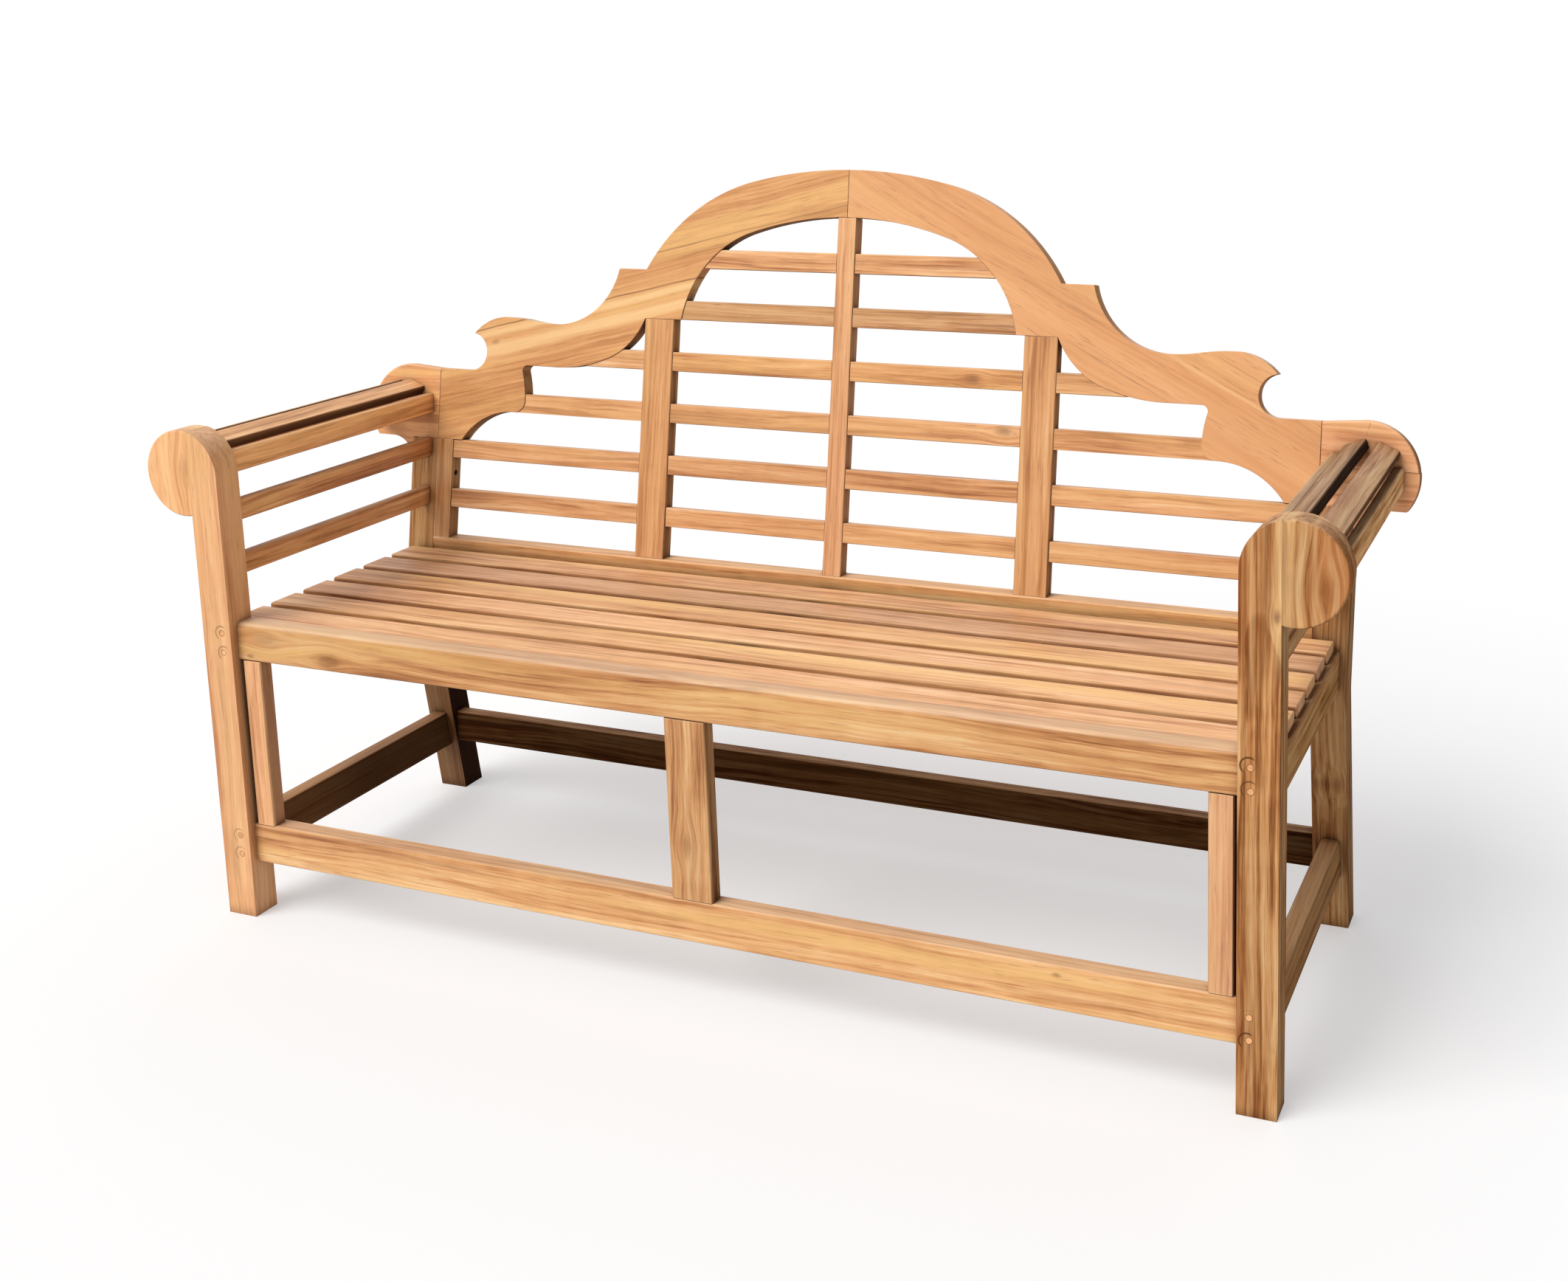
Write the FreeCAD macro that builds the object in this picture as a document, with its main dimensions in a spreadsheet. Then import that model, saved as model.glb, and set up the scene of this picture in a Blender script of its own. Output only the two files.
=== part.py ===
"""Teak garden bench with scrolled arms, an arched crest rail and a slatted seat and back.

Millimetres, +Z up, front towards -Y. The origin is on the floor, under the middle of the whole bench.
"""
import FreeCAD, Part
import math
import os
import re

import Sketcher

# Driving dimensions
SIZES = {
    # legs, measured over their outer faces
    "leg_span": 1524,
    "leg_width": 48,
    "leg_depth": 40,
    "rear_leg_depth": 42,
    "rear_foot_set": 464,
    "knee_height": 354,
    # lean of the back, and the place of its front face at the top of the rear seat rail
    "back_set": 429,
    "back_lean": 10,
    "back_thick": 22,
    # seat
    "rail_top": 444,
    "seat_height": 430,
    "front_rail_set": 12,
    "front_rail_thick": 28,
    "front_rail_tall": 54,
    "front_rail_proud": 4,
    "front_rail_nose": 8,
    "rear_rail_thick": 27,
    "rear_rail_tall": 60,
    "rear_rail_proud": 2,
    "side_rail_thick": 26,
    "side_rail_tall": 55,
    "side_rail_inset": 10,
    "bearer_width": 44,
    "bearer_tall": 34,
    "seat_slat_thick": 16,
    "seat_slat_width": 51.5,
    "seat_slat_gap": 12.5,
    "seat_slat_first": 4,
    "seat_slat_short": 7,
    # stretchers near the floor
    "stretcher_bottom": 79,
    "stretcher_tall": 58,
    "stretcher_thick": 26,
    "rear_stretcher_tall": 50,
    "rear_stretcher_thick": 24,
    "rear_stretcher_set": 9,
    # uprights between front rail and front stretcher
    "side_upright_width": 31,
    "side_upright_clear": 5.5,
    "middle_upright_width": 60,
    "upright_thick": 22,
    # back grid
    "slat_pitch": 79.4,
    "back_slat_width": 29.4,
    "back_slat_thick": 18,
    "back_slat_set": 1.5,
    "end_stile_width": 29.5,
    "wide_stile_at": 311.5,
    "wide_stile_width": 50.5,
    "middle_stile_width": 29.5,
    # crest rail, heights measured up the slope from the rear seat rail
    "crest_rise": 600,
    "crest_depth": 70.5,
    "crest_top_radius": 660,
    "crest_top_reach": 160,
    "crest_side_radius": 286,
    "step_rise": 443,
    "step_inner": 338.5,
    "step_width": 48.5,
    "hollow_radius": 115,
    "hollow_reach": 113,
    "hollow_drop": 91.5,
    "roll_reach": 90,
    "roll_rise": 8,
    "roll_radius": 81.5,
    "tip_reach": 62,
    "tip_drop": 28.5,
    "notch_radius": 29,
    "notch_deep": 25,
    "notch_drop": 29,
    "scroll_neck_rise": 272,
    "arch_radius": 500,
    "arch_reach": 165,
    "arch_side_radius": 172,
    "arch_step": 12.75,
    "wing_under": 284,
    "wing_flat": 505,
    "wing_reach": 400,
    "wing_rise": 19,
    "wing_radius": 250,
    "wing_end_radius": 121,
    "lobe_at": 550.5,
    "lobe_corner": 20,
    "lobe_inner_corner": 9,
    "lobe_slope": 7,
    "lobe_belly": 170,
    "lobe_radius": 115,
    "lobe_foot": 46,
    # scrolls at the arm ends
    "arm_scroll_height": 646,
    "front_scroll_radius": 61,
    "rear_scroll_radius": 73,
    "rear_scroll_out": 10.5,
    "rear_scroll_fall": 1.6,
    # boards of the rear scroll, measured along the slope from its middle
    "rear_scroll_joint": 7.5,
    "rear_scroll_neck": 68.5,
    "rear_scroll_foot": 44.7,
    "rear_cove_radius": 40,
    # arm slats round the scroll: the middle of each outer face from the scroll's middle, and its angle inwards
    "arm_slat_width": 32,
    "arm_slat_thick": 15,
    "arm_inner_out": -49.5,
    "arm_inner_up": 10.5,
    "arm_inner_angle": 83,
    "arm_top_out": -16.5,
    "arm_top_up": 41.5,
    "arm_top_angle": 22,
    "arm_shoulder_out": 30.5,
    "arm_shoulder_up": 38.5,
    "arm_shoulder_angle": -24,
    "arm_outer_out": 50.5,
    "arm_outer_up": -3.5,
    "arm_outer_angle": -90,
    # arm slats in the side, between the legs
    "side_slat_width": 30,
    "side_slat_inset": 11,
    "side_slat_drop": 60,
    "side_slat_pitch": 77,
    # joinery
    "tenon_long": 20,
    "tenon_thick": 10,
    "tenon_shoulder": 6,
    "tongue_long": 10,
    "tongue_thick": 8,
    "tongue_shoulder": 4,
    "peg_diameter": 9,
    "peg_long": 28,
    "peg_inset": 15,
    "peg_spread": 28,
    "screw_diameter": 5,
    "screw_head": 9,
    "screw_head_tall": 3,
    "screw_recess": 12,
    "screw_long": 32,
    # sawn edges taken off the square bars
    "edge_ease": 2,
}

SIDES = {"left": -1, "right": 1}
ROWS = 6
END_ROWS = 4
SEAT_SLATS = 6
REACH_IN = 6

doc = FreeCAD.newDocument("TeakBench")
sheet = doc.addObject("Spreadsheet::Sheet", "Sizes")
for line, (alias, size) in enumerate(SIZES.items(), start=1):
    sheet.set(f"A{line}", alias)
    sheet.set(f"B{line}", str(size))
    sheet.setAlias(f"B{line}", alias)
doc.recompute()

# Places that several pieces share, written with the sizes above
LEG_OUT = "(leg_span / 2)"
LEG_IN = "(leg_span / 2 - leg_width)"
LEG_MID = "(leg_span / 2 - leg_width / 2)"
FRONT = "(-(back_set + crest_rise * sin(back_lean) + back_thick * cos(back_lean)) / 2)"
BACK = f"({FRONT} + back_set)"
RAIL_FRONT = f"({FRONT} + front_rail_set)"
SLAT_UNDER = "(seat_height - seat_slat_thick)"
STRETCHER_TOP = "(stretcher_bottom + stretcher_tall)"
SCROLL_X = f"({LEG_IN} + front_scroll_radius)"
SCROLL_HALF = "sqrt(front_scroll_radius^2 - (leg_width - front_scroll_radius)^2)"
REAR_SCROLL_X = f"({LEG_OUT} + rear_scroll_out)"
LEG_FOOT_Y = f"({FRONT} + rear_foot_set)"
CREST_OUTER_END = "(2 * slat_pitch)"
CREST_INNER_END = "(5 * slat_pitch - back_slat_width)"
ARCH_HALF = "(wide_stile_at - wide_stile_width / 2 - arch_step)"
TONGUE_DEPTH = "((back_thick - tongue_thick) / 2)"
SCROLL_MIDDLE = "((arm_scroll_height - rear_scroll_fall - rail_top) / cos(back_lean))"
SCROLL_JOINT = f"({SCROLL_MIDDLE} + rear_scroll_joint)"
SCROLL_NECK = f"({SCROLL_MIDDLE} + rear_scroll_neck)"
SCROLL_FOOT = f"({SCROLL_MIDDLE} - rear_scroll_foot)"
SCROLL_JOINT_HALF = "sqrt(rear_scroll_radius^2 - rear_scroll_joint^2)"
SCROLL_FOOT_HALF = "sqrt(rear_scroll_radius^2 - rear_scroll_foot^2)"

nodes = []


def full(expression):
    """Spells out each size in an expression as a cell of the sheet."""
    return re.sub(
        r"[a-z_]+",
        lambda word: "Sizes." + word.group() if word.group() in SIZES else word.group(),
        str(expression),
    )


def number(expression):
    return float(sheet.evalExpression(full(expression)))


def bind(item, name, expression):
    item.setExpression(name, full(expression))


def place(item, x="0", y="0", z="0", axis=None, angle="0"):
    """Puts a piece at a point, turned by an angle about one axis."""
    turn = FreeCAD.Rotation(FreeCAD.Vector(*(axis or (0, 0, 1))), number(angle))
    item.Placement = FreeCAD.Placement(FreeCAD.Vector(number(x), number(y), number(z)), turn)
    for letter, distance in zip("xyz", (x, y, z)):
        bind(item, f"Placement.Base.{letter}", distance)
    if axis:
        bind(item, "Placement.Rotation.Angle", angle)


def lean_y(height):
    """Depth of the back's front face at a height above the floor."""
    return f"({BACK} + ({height} - rail_top) * tan(back_lean))"


def on_back(item, x="0", depth="0", rise="0"):
    """Puts a piece in the leaning frame of the back, behind its front face and up its slope."""
    y = f"{BACK} + ({depth}) * cos(back_lean) + ({rise}) * sin(back_lean)"
    z = f"rail_top - ({depth}) * sin(back_lean) + ({rise}) * cos(back_lean)"
    place(item, x, y, z, (1, 0, 0), "-back_lean")


def arc_between(start, end, radius, turn):
    """Minor arc from start to end, its centre on the left (turn 1) or right (turn -1) of the way."""
    chord = end - start
    away = math.sqrt(radius**2 - (chord.Length / 2) ** 2)
    normal = FreeCAD.Vector(-chord.y, chord.x, 0).normalize()
    centre = (start + end) / 2 + normal * away * turn
    first, last = (start, end) if turn > 0 else (end, start)
    angles = [math.atan2(point.y - centre.y, point.x - centre.x) for point in (first, last)]
    circle = Part.Circle(centre, FreeCAD.Vector(0, 0, 1), radius)
    return Part.ArcOfCircle(circle, angles[0], angles[1])


def outline(body, role, corners):
    """Closed outline on one of a body's own planes.

    A corner is (across, up), with a straight edge to the next one, or (across, up, radius, turn), with an arc.
    """
    sketch = body.newObject("Sketcher::SketchObject", body.Name + "Outline")
    plane = next(item for item in body.Origin.OriginFeatures if item.Role == role)
    sketch.AttachmentSupport = [(plane, "")]
    sketch.MapMode = "FlatFace"
    points = [FreeCAD.Vector(number(corner[0]), number(corner[1]), 0) for corner in corners]
    edges = []
    ends = []
    for index, corner in enumerate(corners):
        start = points[index]
        end = points[(index + 1) % len(points)]
        if len(corner) == 2:
            edges.append(Part.LineSegment(start, end))
            ends.append((1, 2))
        else:
            edges.append(arc_between(start, end, number(corner[2]), corner[3]))
            ends.append((1, 2) if corner[3] > 0 else (2, 1))
    sketch.addGeometry(edges, False)
    constraints = []
    bound = []
    for index, corner in enumerate(corners):
        after = (index + 1) % len(corners)
        constraints.append(Sketcher.Constraint("Coincident", index, ends[index][1], after, ends[after][0]))
        for kind, place_on in (("DistanceX", corner[0]), ("DistanceY", corner[1])):
            bound.append((len(constraints), place_on))
            constraints.append(Sketcher.Constraint(kind, -1, 1, index, ends[index][0], number(place_on)))
        if len(corner) > 2:
            bound.append((len(constraints), corner[2]))
            constraints.append(Sketcher.Constraint("Radius", index, number(corner[2])))
    sketch.addConstraint(constraints)
    for index, expression in bound:
        bind(sketch, f"Constraints[{index}]", expression)
    return sketch


def solid(name, role, corners, length):
    """Body of one outline, drawn out along +X from the YZ plane or along +Y from the XZ plane."""
    body = doc.addObject("PartDesign::Body", name)
    sketch = outline(body, role, corners)
    pad = body.newObject("PartDesign::Pad", name + "Pad")
    pad.Profile = sketch
    pad.Reversed = role == "XZ_Plane"
    bind(pad, "Length", length)
    body.Tip = pad
    return body


def mirrored(side, corners):
    """Corners drawn for the right-hand piece, turned over for the left-hand one."""
    flipped = []
    for corner in corners:
        across = corner[0] if side > 0 else f"-({corner[0]})"
        flipped.append((across, corner[1]) + tuple(corner[2:3]) + tuple(side * turn for turn in corner[3:]))
    return flipped


def eased(low, high, bottom, top):
    """Rectangle with its four corners taken off."""
    return [
        (f"{low} + edge_ease", bottom),
        (f"{high} - edge_ease", bottom),
        (high, f"{bottom} + edge_ease"),
        (high, f"{top} - edge_ease"),
        (f"{high} - edge_ease", top),
        (f"{low} + edge_ease", top),
        (low, f"{top} - edge_ease"),
        (low, f"{bottom} + edge_ease"),
    ]


def x_bar(name, start, end, section):
    """Bar along X with a section drawn in depth and height."""
    body = solid(name, "YZ_Plane", section, f"({end}) - ({start})")
    place(body, x=start)
    return body


def y_bar(name, start, end, section):
    """Bar along Y with a section drawn across and up."""
    body = solid(name, "XZ_Plane", section, f"({end}) - ({start})")
    place(body, y=start)
    return body


def z_bar(name, low, high, across, deep):
    """Upright bar with eased edges, given by its two faces across, its two faces in depth and its ends."""
    body = solid(name, "XY_Plane", eased(across[0], across[1], deep[0], deep[1]), f"({high}) - ({low})")
    place(body, z=low)
    return body


def back_bar(name, across, rise, depth):
    """Slat or stile of the back, with eased edges along its length."""
    body = solid(name, "XZ_Plane", [
        (across[0], rise[0]), (across[1], rise[0]), (across[1], rise[1]), (across[0], rise[1])
    ], f"({depth[1]}) - ({depth[0]})")
    on_back(body, depth=depth[0])
    return body


def box(name, across, deep, up):
    """Upright block between two faces each way."""
    block = doc.addObject("Part::Box", name)
    for length, (low, high) in zip(("Length", "Width", "Height"), (across, deep, up)):
        bind(block, length, f"({high}) - ({low})")
    place(block, across[0], deep[0], up[0])
    return block


def back_box(name, across, depth, rise):
    """Block in the leaning frame of the back."""
    block = doc.addObject("Part::Box", name)
    for length, (low, high) in zip(("Length", "Width", "Height"), (across, depth, rise)):
        bind(block, length, f"({high}) - ({low})")
    on_back(block, across[0], depth[0], rise[0])
    return block


def group(name, items):
    compound = doc.addObject("Part::Compound", name)
    compound.Links = items
    return compound


def cut(name, base, tools):
    result = doc.addObject("Part::Cut", name)
    result.Base = base
    result.Tool = tools[0] if len(tools) == 1 else group(name + "Tools", tools)
    return result


def joined(name, base, shoulders=(), tenons=(), mortises=()):
    """A piece whose ends are fitted to its neighbours, with its tenons added and its mortises cut."""
    piece = base
    if shoulders:
        piece = cut(name + "Shoulder", piece, list(shoulders))
    for count, tenon in enumerate(tenons):
        fused = doc.addObject("Part::Fuse", f"{name}Tenon{count}")
        fused.Base = piece
        fused.Tool = tenon
        piece = fused
    if mortises:
        piece = cut(name + "Mortise", piece, list(mortises))
    return piece


def keep(label, piece):
    piece.Label = label
    nodes.append(piece)


# Front legs, each with the inner part of its scroll, and the blocks glued to their outer faces
def front_leg_blank(side, name):
    return y_bar(name, FRONT, f"{FRONT} + leg_depth", mirrored(side, [
        (LEG_IN, "0"),
        (LEG_IN, "arm_scroll_height", "front_scroll_radius", -1),
        (LEG_OUT, f"arm_scroll_height + {SCROLL_HALF}"),
        (LEG_OUT, "0"),
    ]))


def front_scroll_blank(side, name):
    return y_bar(name, FRONT, f"{FRONT} + leg_depth", mirrored(side, [
        (LEG_OUT, f"arm_scroll_height + {SCROLL_HALF}", "front_scroll_radius", -1),
        (f"{SCROLL_X} + front_scroll_radius", "arm_scroll_height", "front_scroll_radius", -1),
        (LEG_OUT, f"arm_scroll_height - {SCROLL_HALF}"),
    ]))


# Rear legs, cranked at the seat, and the two boards of each rear scroll that cap them
def rear_leg_blank(side, name):
    low, high = (LEG_IN, LEG_OUT) if side > 0 else (f"-{LEG_OUT}", f"-{LEG_IN}")
    knee = lean_y("knee_height")
    top = f"(rail_top + {SCROLL_FOOT} * cos(back_lean))"
    drop = "(rear_leg_depth * sin(back_lean) * cos(back_lean))"
    return x_bar(name, low, high, [
        (LEG_FOOT_Y, "0"),
        (f"{LEG_FOOT_Y} + rear_leg_depth", "0"),
        (f"{knee} + rear_leg_depth", "knee_height"),
        (f"{lean_y(top)} + rear_leg_depth * cos(back_lean)^2", f"{top} - {drop}"),
        (lean_y(top), top),
        (knee, "knee_height"),
    ])


def rear_scroll_upper_blank(side, name):
    board = solid(name, "XZ_Plane", mirrored(side, [
        (LEG_IN, SCROLL_JOINT),
        (LEG_IN, SCROLL_NECK),
        (REAR_SCROLL_X, f"{SCROLL_MIDDLE} + rear_scroll_radius", "rear_scroll_radius", -1),
        (f"{REAR_SCROLL_X} + {SCROLL_JOINT_HALF}", SCROLL_JOINT),
    ]), "back_thick")
    on_back(board)
    return board


def rear_scroll_lower_blank(side, name):
    board = solid(name, "XZ_Plane", mirrored(side, [
        (LEG_IN, SCROLL_FOOT),
        (LEG_IN, SCROLL_JOINT),
        (f"{REAR_SCROLL_X} + {SCROLL_JOINT_HALF}", SCROLL_JOINT, "rear_scroll_radius", -1),
        (f"{REAR_SCROLL_X} + {SCROLL_FOOT_HALF}", SCROLL_FOOT),
        (f"{LEG_OUT} + rear_cove_radius", SCROLL_FOOT, "rear_cove_radius", 1),
        (LEG_OUT, f"{SCROLL_FOOT} - rear_cove_radius"),
        (LEG_OUT, SCROLL_FOOT),
    ]), "back_thick")
    on_back(board)
    return board


# Crest rail, one half, drawn clockwise from the middle of the arch
def crest_blank(side, name):
    top_drop = "(crest_top_radius - sqrt(crest_top_radius^2 - crest_top_reach^2))"
    arch_drop = "(arch_radius - sqrt(arch_radius^2 - arch_reach^2))"
    step_out = "(step_inner + step_width)"
    dip_x = f"({step_out} + hollow_reach)"
    dip = "(step_rise - hollow_drop)"
    roll_bend = "((roll_reach / 2)^2 + (roll_rise / 2)^2) / roll_rise"
    roll_x = f"({dip_x} + roll_reach)"
    tip_x = f"({roll_x} + tip_reach)"
    tip = f"({dip} + roll_rise - tip_drop)"
    lobe_under = "(3 * slat_pitch - back_slat_width)"
    board = solid(name, "XZ_Plane", mirrored(side, [
        ("0", "crest_rise", "crest_top_radius", -1),
        ("crest_top_reach", f"crest_rise - {top_drop}", "crest_side_radius", -1),
        ("step_inner", "step_rise"),
        (step_out, "step_rise", "hollow_radius", 1),
        (dip_x, dip, roll_bend, 1),
        (f"{dip_x} + roll_reach / 2", f"{dip} + roll_rise / 2", roll_bend, -1),
        (roll_x, f"{dip} + roll_rise", "roll_radius", -1),
        (tip_x, tip, "notch_radius", 1),
        (f"{tip_x} - notch_deep", f"{tip} - notch_drop", "notch_radius", 1),
        (f"{tip_x} - notch_deep + notch_radius", "scroll_neck_rise"),
        (LEG_IN, "scroll_neck_rise"),
        (LEG_IN, CREST_OUTER_END),
        (f"{LEG_IN} - lobe_foot", CREST_OUTER_END, "lobe_radius", 1),
        ("lobe_at + lobe_corner", lobe_under, "lobe_corner", -1),
        ("lobe_at", f"{lobe_under} + lobe_corner", "lobe_belly", -1),
        ("lobe_at + lobe_slope", "wing_under - lobe_inner_corner", "lobe_inner_corner", 1),
        ("lobe_at + lobe_slope - lobe_inner_corner", "wing_under"),
        ("wing_flat", "wing_under", "wing_radius", -1),
        ("wing_reach", "wing_under + wing_rise", "wing_end_radius", -1),
        ("wide_stile_at + wide_stile_width / 2", CREST_INNER_END),
        (ARCH_HALF, CREST_INNER_END, "arch_side_radius", 1),
        ("arch_reach", f"crest_rise - crest_depth - {arch_drop}", "arch_radius", 1),
        ("0", "crest_rise - crest_depth"),
    ]), "back_thick")
    on_back(board)
    return board


front_legs = {}
front_scrolls = {}
rear_legs = {}
upper_scrolls = {}
lower_scrolls = {}
crests = {}
for hand, side in SIDES.items():
    front_legs[hand] = front_leg_blank(side, "FrontLeg" + hand)
    front_scrolls[hand] = front_scroll_blank(side, "FrontScroll" + hand)
    rear_legs[hand] = rear_leg_blank(side, "RearLeg" + hand)
    upper_scrolls[hand] = rear_scroll_upper_blank(side, "UpperScroll" + hand)
    lower_scrolls[hand] = rear_scroll_lower_blank(side, "LowerScroll" + hand)
    crests[hand] = crest_blank(side, "Crest" + hand)

# Mortises are gathered for each piece that takes another one's tenon
mortises = {"front_leg": {"left": [], "right": []}, "front_scroll": {"left": [], "right": []},
            "rear_leg": {"left": [], "right": []}, "rear_scroll": {"left": [], "right": []},
            "crest": {"left": [], "right": []}, "front_rail": [], "rear_rail": [], "front_stretcher": []}


def long_tenon(name, deep, up):
    """Tenons at both ends of a member that runs between the left and right legs."""
    middle = f"(({deep[0]}) + ({deep[1]})) / 2"
    reach = f"({LEG_IN} + tenon_long)"
    return box(name, (f"-{reach}", reach), (f"{middle} - tenon_thick / 2", f"{middle} + tenon_thick / 2"),
               (f"{up[0]} + tenon_shoulder", f"{up[1]} - tenon_shoulder"))


# Long members between the legs
rail_deep = (RAIL_FRONT, f"({RAIL_FRONT} + front_rail_thick)")
rail_up = ("(seat_height + front_rail_proud - front_rail_tall)", "(seat_height + front_rail_proud)")
front_rail = x_bar("FrontRail", f"-{LEG_IN}", LEG_IN, [
    (f"{rail_deep[0]} + edge_ease", rail_up[0]),
    (f"{rail_deep[1]} - edge_ease", rail_up[0]),
    (rail_deep[1], f"{rail_up[0]} + edge_ease"),
    (rail_deep[1], f"{rail_up[1]} - edge_ease"),
    (f"{rail_deep[1]} - edge_ease", rail_up[1]),
    (f"{rail_deep[0]} + front_rail_nose", rail_up[1], "front_rail_nose", 1),
    (rail_deep[0], f"{rail_up[1]} - front_rail_nose"),
    (rail_deep[0], f"{rail_up[0]} + edge_ease"),
])
front_rail_tenon = long_tenon("FrontRailTenon", rail_deep, rail_up)

stretcher_deep = (RAIL_FRONT, f"({RAIL_FRONT} + stretcher_thick)")
stretcher_up = ("stretcher_bottom", STRETCHER_TOP)
front_stretcher = x_bar("FrontStretcher", f"-{LEG_IN}", LEG_IN,
                        eased(stretcher_deep[0], stretcher_deep[1], stretcher_up[0], stretcher_up[1]))
front_stretcher_tenon = long_tenon("FrontStretcherTenon", stretcher_deep, stretcher_up)

rear_rail_deep = (f"({BACK} - rear_rail_proud)", f"({BACK} - rear_rail_proud + rear_rail_thick)")
rear_rail_up = ("(rail_top - rear_rail_tall)", "rail_top")
rear_rail = x_bar("RearRail", f"-{LEG_IN}", LEG_IN,
                  eased(rear_rail_deep[0], rear_rail_deep[1], rear_rail_up[0], rear_rail_up[1]))
rear_rail_tenon = long_tenon("RearRailTenon", rear_rail_deep, rear_rail_up)

rear_stretcher_up = (f"({STRETCHER_TOP} - rear_stretcher_tall)", STRETCHER_TOP)
kick = f"((rear_foot_set - back_set + (rail_top - knee_height) * tan(back_lean)) / knee_height)"
leg_front_there = f"({LEG_FOOT_Y} - {STRETCHER_TOP} * {kick})"
rear_stretcher_deep = (f"({leg_front_there} + rear_stretcher_set)",
                       f"({leg_front_there} + rear_stretcher_set + rear_stretcher_thick)")
rear_stretcher = x_bar(
    "RearStretcher", f"-{LEG_IN}", LEG_IN,
    eased(rear_stretcher_deep[0], rear_stretcher_deep[1], rear_stretcher_up[0], rear_stretcher_up[1]))
rear_stretcher_tenon = long_tenon("RearStretcherTenon", rear_stretcher_deep, rear_stretcher_up)
for hand in SIDES:
    mortises["front_leg"][hand] += [front_rail_tenon, front_stretcher_tenon]
    mortises["rear_leg"][hand] += [rear_rail_tenon, rear_stretcher_tenon]

# Side members between front and rear leg; the tenons pass outside those of the long members
side_low = f"({LEG_OUT} - side_rail_inset - side_rail_thick)"
side_high = f"({LEG_OUT} - side_rail_inset)"
side_rail_up = (f"({SLAT_UNDER} - side_rail_tall)", SLAT_UNDER)


def side_member(name, hand, side, up, rear_face):
    """Rail or stretcher along Y whose rear shoulder follows the slope of the rear leg."""
    low, high = (side_low, side_high) if side > 0 else (f"-{side_high}", f"-{side_low}")
    tenon_high = f"({LEG_OUT} - side_rail_inset - edge_ease)"
    tenon_low = f"({tenon_high} - tenon_thick)"
    tenon_across = (tenon_low, tenon_high) if side > 0 else (f"-{tenon_high}", f"-{tenon_low}")
    bar = y_bar(name, f"{FRONT} + leg_depth", f"{rear_face} + {REACH_IN}", eased(low, high, up[0], up[1]))
    tenon = box(name + "Tenon", tenon_across,
                (f"{FRONT} + leg_depth - tenon_long", f"{rear_face} + tenon_long"),
                (f"{up[0]} + tenon_shoulder", f"{up[1]} - tenon_shoulder"))
    mortises["front_leg"][hand].append(tenon)
    mortises["rear_leg"][hand].append(tenon)
    return joined(name + "Piece", bar, [rear_legs[hand]], [tenon])


for hand, side in SIDES.items():
    keep("side_seat_rail_" + hand,
         side_member("SideRail" + hand, hand, side, side_rail_up, lean_y(SLAT_UNDER)))
    keep("side_stretcher_" + hand,
         side_member("SideStretcher" + hand, hand, side, stretcher_up,
                     f"({LEG_FOOT_Y} - stretcher_bottom * {kick})"))

# Middle bearer under the seat, housed in the front and rear seat rails
bearer_up = (f"({SLAT_UNDER} - bearer_tall)", SLAT_UNDER)
bearer_deep = (rail_deep[1], rear_rail_deep[0])
bearer = y_bar("Bearer", bearer_deep[0], bearer_deep[1],
               eased("-bearer_width / 2", "bearer_width / 2", bearer_up[0], bearer_up[1]))
bearer_tenon = box("BearerTenon", ("-bearer_width / 2 + tenon_shoulder", "bearer_width / 2 - tenon_shoulder"),
                   (f"{bearer_deep[0]} - tongue_long", f"{bearer_deep[1]} + tongue_long"),
                   (f"{bearer_up[0]} + tenon_shoulder", f"{bearer_up[1]} - tenon_shoulder"))
keep("seat_bearer", joined("BearerPiece", bearer, (), [bearer_tenon]))
mortises["front_rail"].append(bearer_tenon)
mortises["rear_rail"].append(bearer_tenon)

# Seat slats lie on the side rails and the bearer
slat_end = f"({side_high} - seat_slat_short)"
for count in range(SEAT_SLATS):
    start = f"({rail_deep[1]} + seat_slat_first + {count} * (seat_slat_width + seat_slat_gap))"
    slat = x_bar(f"SeatSlat{count}", f"-{slat_end}", slat_end,
                 eased(start, f"({start} + seat_slat_width)", SLAT_UNDER, "seat_height"))
    keep(f"seat_slat_{count + 1}", slat)

# Uprights between the front seat rail and the front stretcher
side_upright = (f"({LEG_IN} - side_upright_clear - side_upright_width)", f"({LEG_IN} - side_upright_clear)")
uprights = {
    "left": (f"-{side_upright[1]}", f"-{side_upright[0]}"),
    "centre": ("-middle_upright_width / 2", "middle_upright_width / 2"),
    "right": side_upright,
}
upright_deep = (RAIL_FRONT, f"({RAIL_FRONT} + upright_thick)")
for spot, across in uprights.items():
    bar = z_bar("Upright" + spot, STRETCHER_TOP, rail_up[0], across, upright_deep)
    tenon = box("Upright" + spot + "Tenon",
                (f"{across[0]} + tongue_shoulder", f"{across[1]} - tongue_shoulder"),
                (f"{upright_deep[0]} + tongue_thick", f"{upright_deep[1]} - tongue_shoulder"),
                (f"{STRETCHER_TOP} - tongue_long", f"{rail_up[0]} + tongue_long"))
    keep("front_upright_" + spot, joined("Upright" + spot + "Piece", bar, (), [tenon]))
    mortises["front_rail"].append(tenon)
    mortises["front_stretcher"].append(tenon)

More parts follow.
